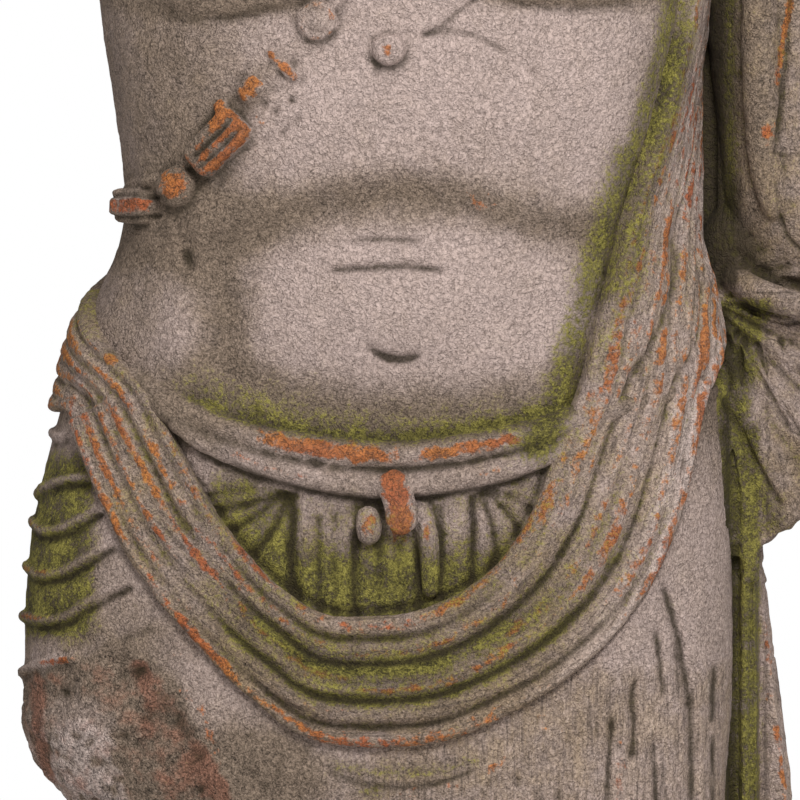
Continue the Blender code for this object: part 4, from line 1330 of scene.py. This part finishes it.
# Painted shade in the gap between the robe and the sleeve's ridge, in the recess behind the arm and in the
# band under the elbow
gap = 0.9 * smooth((186.5 - x) / 3) * smooth((378 - z) / 12) * smooth((x - 176) / 4)
recess_shade = np.maximum(recess * (1 - 0.55 * cord_line), np.maximum(strokes(x, z, ARM_SHADE), gap) * ahead)
grime = np.maximum(np.clip(0.75 * cavity, 0, 0.8), 0.92 * recess_shade)
# Painted shade in the sleeve's cuts
sleeve_cut_shade = [(line, 0.85 * reach, min(0.85, 0.26 * deep)) for line, reach, deep in SLEEVE_CUTS]
sleeve_cut_shade = strokes(x, z, sleeve_cut_shade) * np.where((z > 300) & (x > 190), 0.6, 1)
grime = np.maximum(grime, sleeve_cut_shade * ahead)
# Painted shade under the elbow
grime = grime + 0.25 * mound(x, z, 200, 452, 42, 30) * ahead
grime = grime + 0.04 * smooth((moss - 0.4) / 0.3) * smooth((z - 300) / 20) * ahead
on_ridge = smooth((x - 187) / 3) * smooth((205 - x) / 4) * smooth((290 - z) / 20)
grime = grime * (1 - 0.75 * on_ridge) * (1 - 0.45 * mound(x, z, 192, 332, 18, 60))
brown = 0.42 + upper * (0.26 + 0.45 * smooth((226 - x) / 30)) - 0.2 * fall
brown = brown + 0.3 * near(x, z, ((184, 440), (200, 431), (224, 424)), 14)
brown = brown + 0.4 * smooth((x - 198) / 12) * smooth((372 - z) / 30) * smooth((z - 285) / 10)
brown = brown + 0.4 * smooth((204 - x) / 10) * smooth((z - 440) / 12) * ahead
spread = np.hypot(x - 170, z - 426)
swing = np.degrees(np.arctan2(426 - z, x - 170))
run = np.where(z > 430, z, spread)
cross = np.where(z > 430, x, np.where(x < 205, x, swing * 1.4))
mark(draped_arm, moss=moss * (0.35 + 0.65 * ahead), paint=paint, grime=grime, brown=brown, pale=0.1, core=0)
mark(draped_arm, cloth=0.8, run=run, cross=cross)
dress(draped_arm)

# The base: a low rectangular block cast with the figure, its edges worn round. It stands flat on the
# ground on its whole underside.
BASE = (440, 280, 45)
CORNER = 9
# How far its sides stand in at each height
BASE_SIDE = (
    (0, 2.5),
    (1.5, 0.8),
    (4, 0),
    (12, 0),
    (24, 0),
    (36, 0),
    (40, 0.6),
    (43, 2.4),
    (44.6, 5.5),
    (45, 10),
)
rings = []
for height, inset in BASE_SIDE:
    half_x, half_y = BASE[0] / 2 - inset, BASE[1] / 2 - inset
    outline = []
    for cx, cy, start in ((1, -1, -90), (1, 1, 0), (-1, 1, 90), (-1, -1, 180)):
        mx, my = cx * (half_x - CORNER), cy * (half_y - CORNER)
        for a in np.radians(np.linspace(start, start + 90, 8)):
            outline.append((mx + CORNER * math.cos(a), my + CORNER * math.sin(a)))
    outline = np.array(outline)
    rings.append(np.column_stack([outline - FOOT[:2] / MM, np.full(len(outline), height - BASE[2])]))


def base_wear(p, normal):
    rim = smooth((np.abs(p[:, 0] + FOOT[0] / MM) - 196) / 20) + smooth((np.abs(p[:, 1]) - 118) / 18)
    return -1.2 * rim * smooth((p[:, 2] + 12) / 12) * (0.6 + grit(p, 18, 31))


BASE_TRIANGLES = 40000
base_block = cast("base_block", [loft(rings)], BASE_TRIANGLES, base_wear)
co, _ = mesh_points(base_block.data)
p = (co - FOOT) / MM
co[:, 2] = np.where(p[:, 2] < -43.2, cad_box[0][2] + INSIDE, co[:, 2])
base_block.data.vertices.foreach_set("co", co.astype(np.float32).ravel())
base_block.data.update()
x, y, z = p.T
cavity = np.clip(read(base_block, "near_hollow"), 0, 1)
foot_ring = smooth(1 - np.abs(np.hypot((x - 28) / 165, y / 105) - 1) / 0.18) * (z > -4)
moss = 0.30 + 0.4 * foot_ring + 0.3 * grit(p, 45, 33) + 0.4 * cavity
mark(base_block, moss=moss, paint=0, grime=cavity + 0.3 * foot_ring, brown=0.45, pale=0.2, core=0)
mark(base_block, cloth=0, run=0, cross=0)
dress(base_block)

# The studio: a pale floor, a wide soft light from the front right, a weaker one from above and a soft glow
# all round, and a long lens level with the belly, as the photograph was taken.
bpy.ops.mesh.primitive_plane_add(size=6, location=(0, 0, -0.0005))
floor = bpy.context.object
floor.name = "floor"
paper = bpy.data.materials.new("pale_paper")
paper.use_nodes = True
paper.node_tree.nodes["Principled BSDF"].inputs["Base Color"].default_value = (0.9, 0.9, 0.9, 1)
paper.node_tree.nodes["Principled BSDF"].inputs["Roughness"].default_value = 0.9
floor.data.materials.append(paper)

world = bpy.data.worlds.new("studio")
bpy.context.scene.world = world
world.use_nodes = True
sky = Wire(world.node_tree)
world.node_tree.nodes.clear()
seen = sky.node("LightPath")
white = sky.node("Background", {}, {"Color": (1, 1, 1, 1), "Strength": 1.0})
glow = sky.node("Background", {}, {"Color": (1.0, 0.98, 0.96, 1), "Strength": 0.33})
sky.node("OutputWorld", {}, {"Surface": sky.node("MixShader", {}, {0: seen, 1: glow, 2: white})})


def lamp(name, place, aim, size, power):
    light = bpy.data.lights.new(name, "AREA")
    light.shape = "SQUARE"
    light.size, light.energy = size, power
    holder = bpy.data.objects.new(name, light)
    holder.location = place
    holder.rotation_euler = (Vector(aim) - Vector(place)).to_track_quat("-Z", "Y").to_euler()
    bpy.context.scene.collection.objects.link(holder)


lamp("key", (0.42, -3.0, 2.2), (0, 0, 0.42), 1.1, 97)
lamp("top", (0.25, -1.0, 2.6), (0, 0, 0.42), 1.2, 16)

lens = bpy.data.cameras.new("camera")
lens.lens, lens.sensor_width = 818, 36
lens.clip_end = 50
camera = bpy.data.objects.new("camera", lens)
camera.location = (-0.0398, -10.05, 0.416)
camera.rotation_euler = (math.radians(90), 0, 0)
bpy.context.scene.collection.objects.link(camera)
bpy.context.scene.camera = camera
bpy.context.scene.view_settings.view_transform = "Standard"
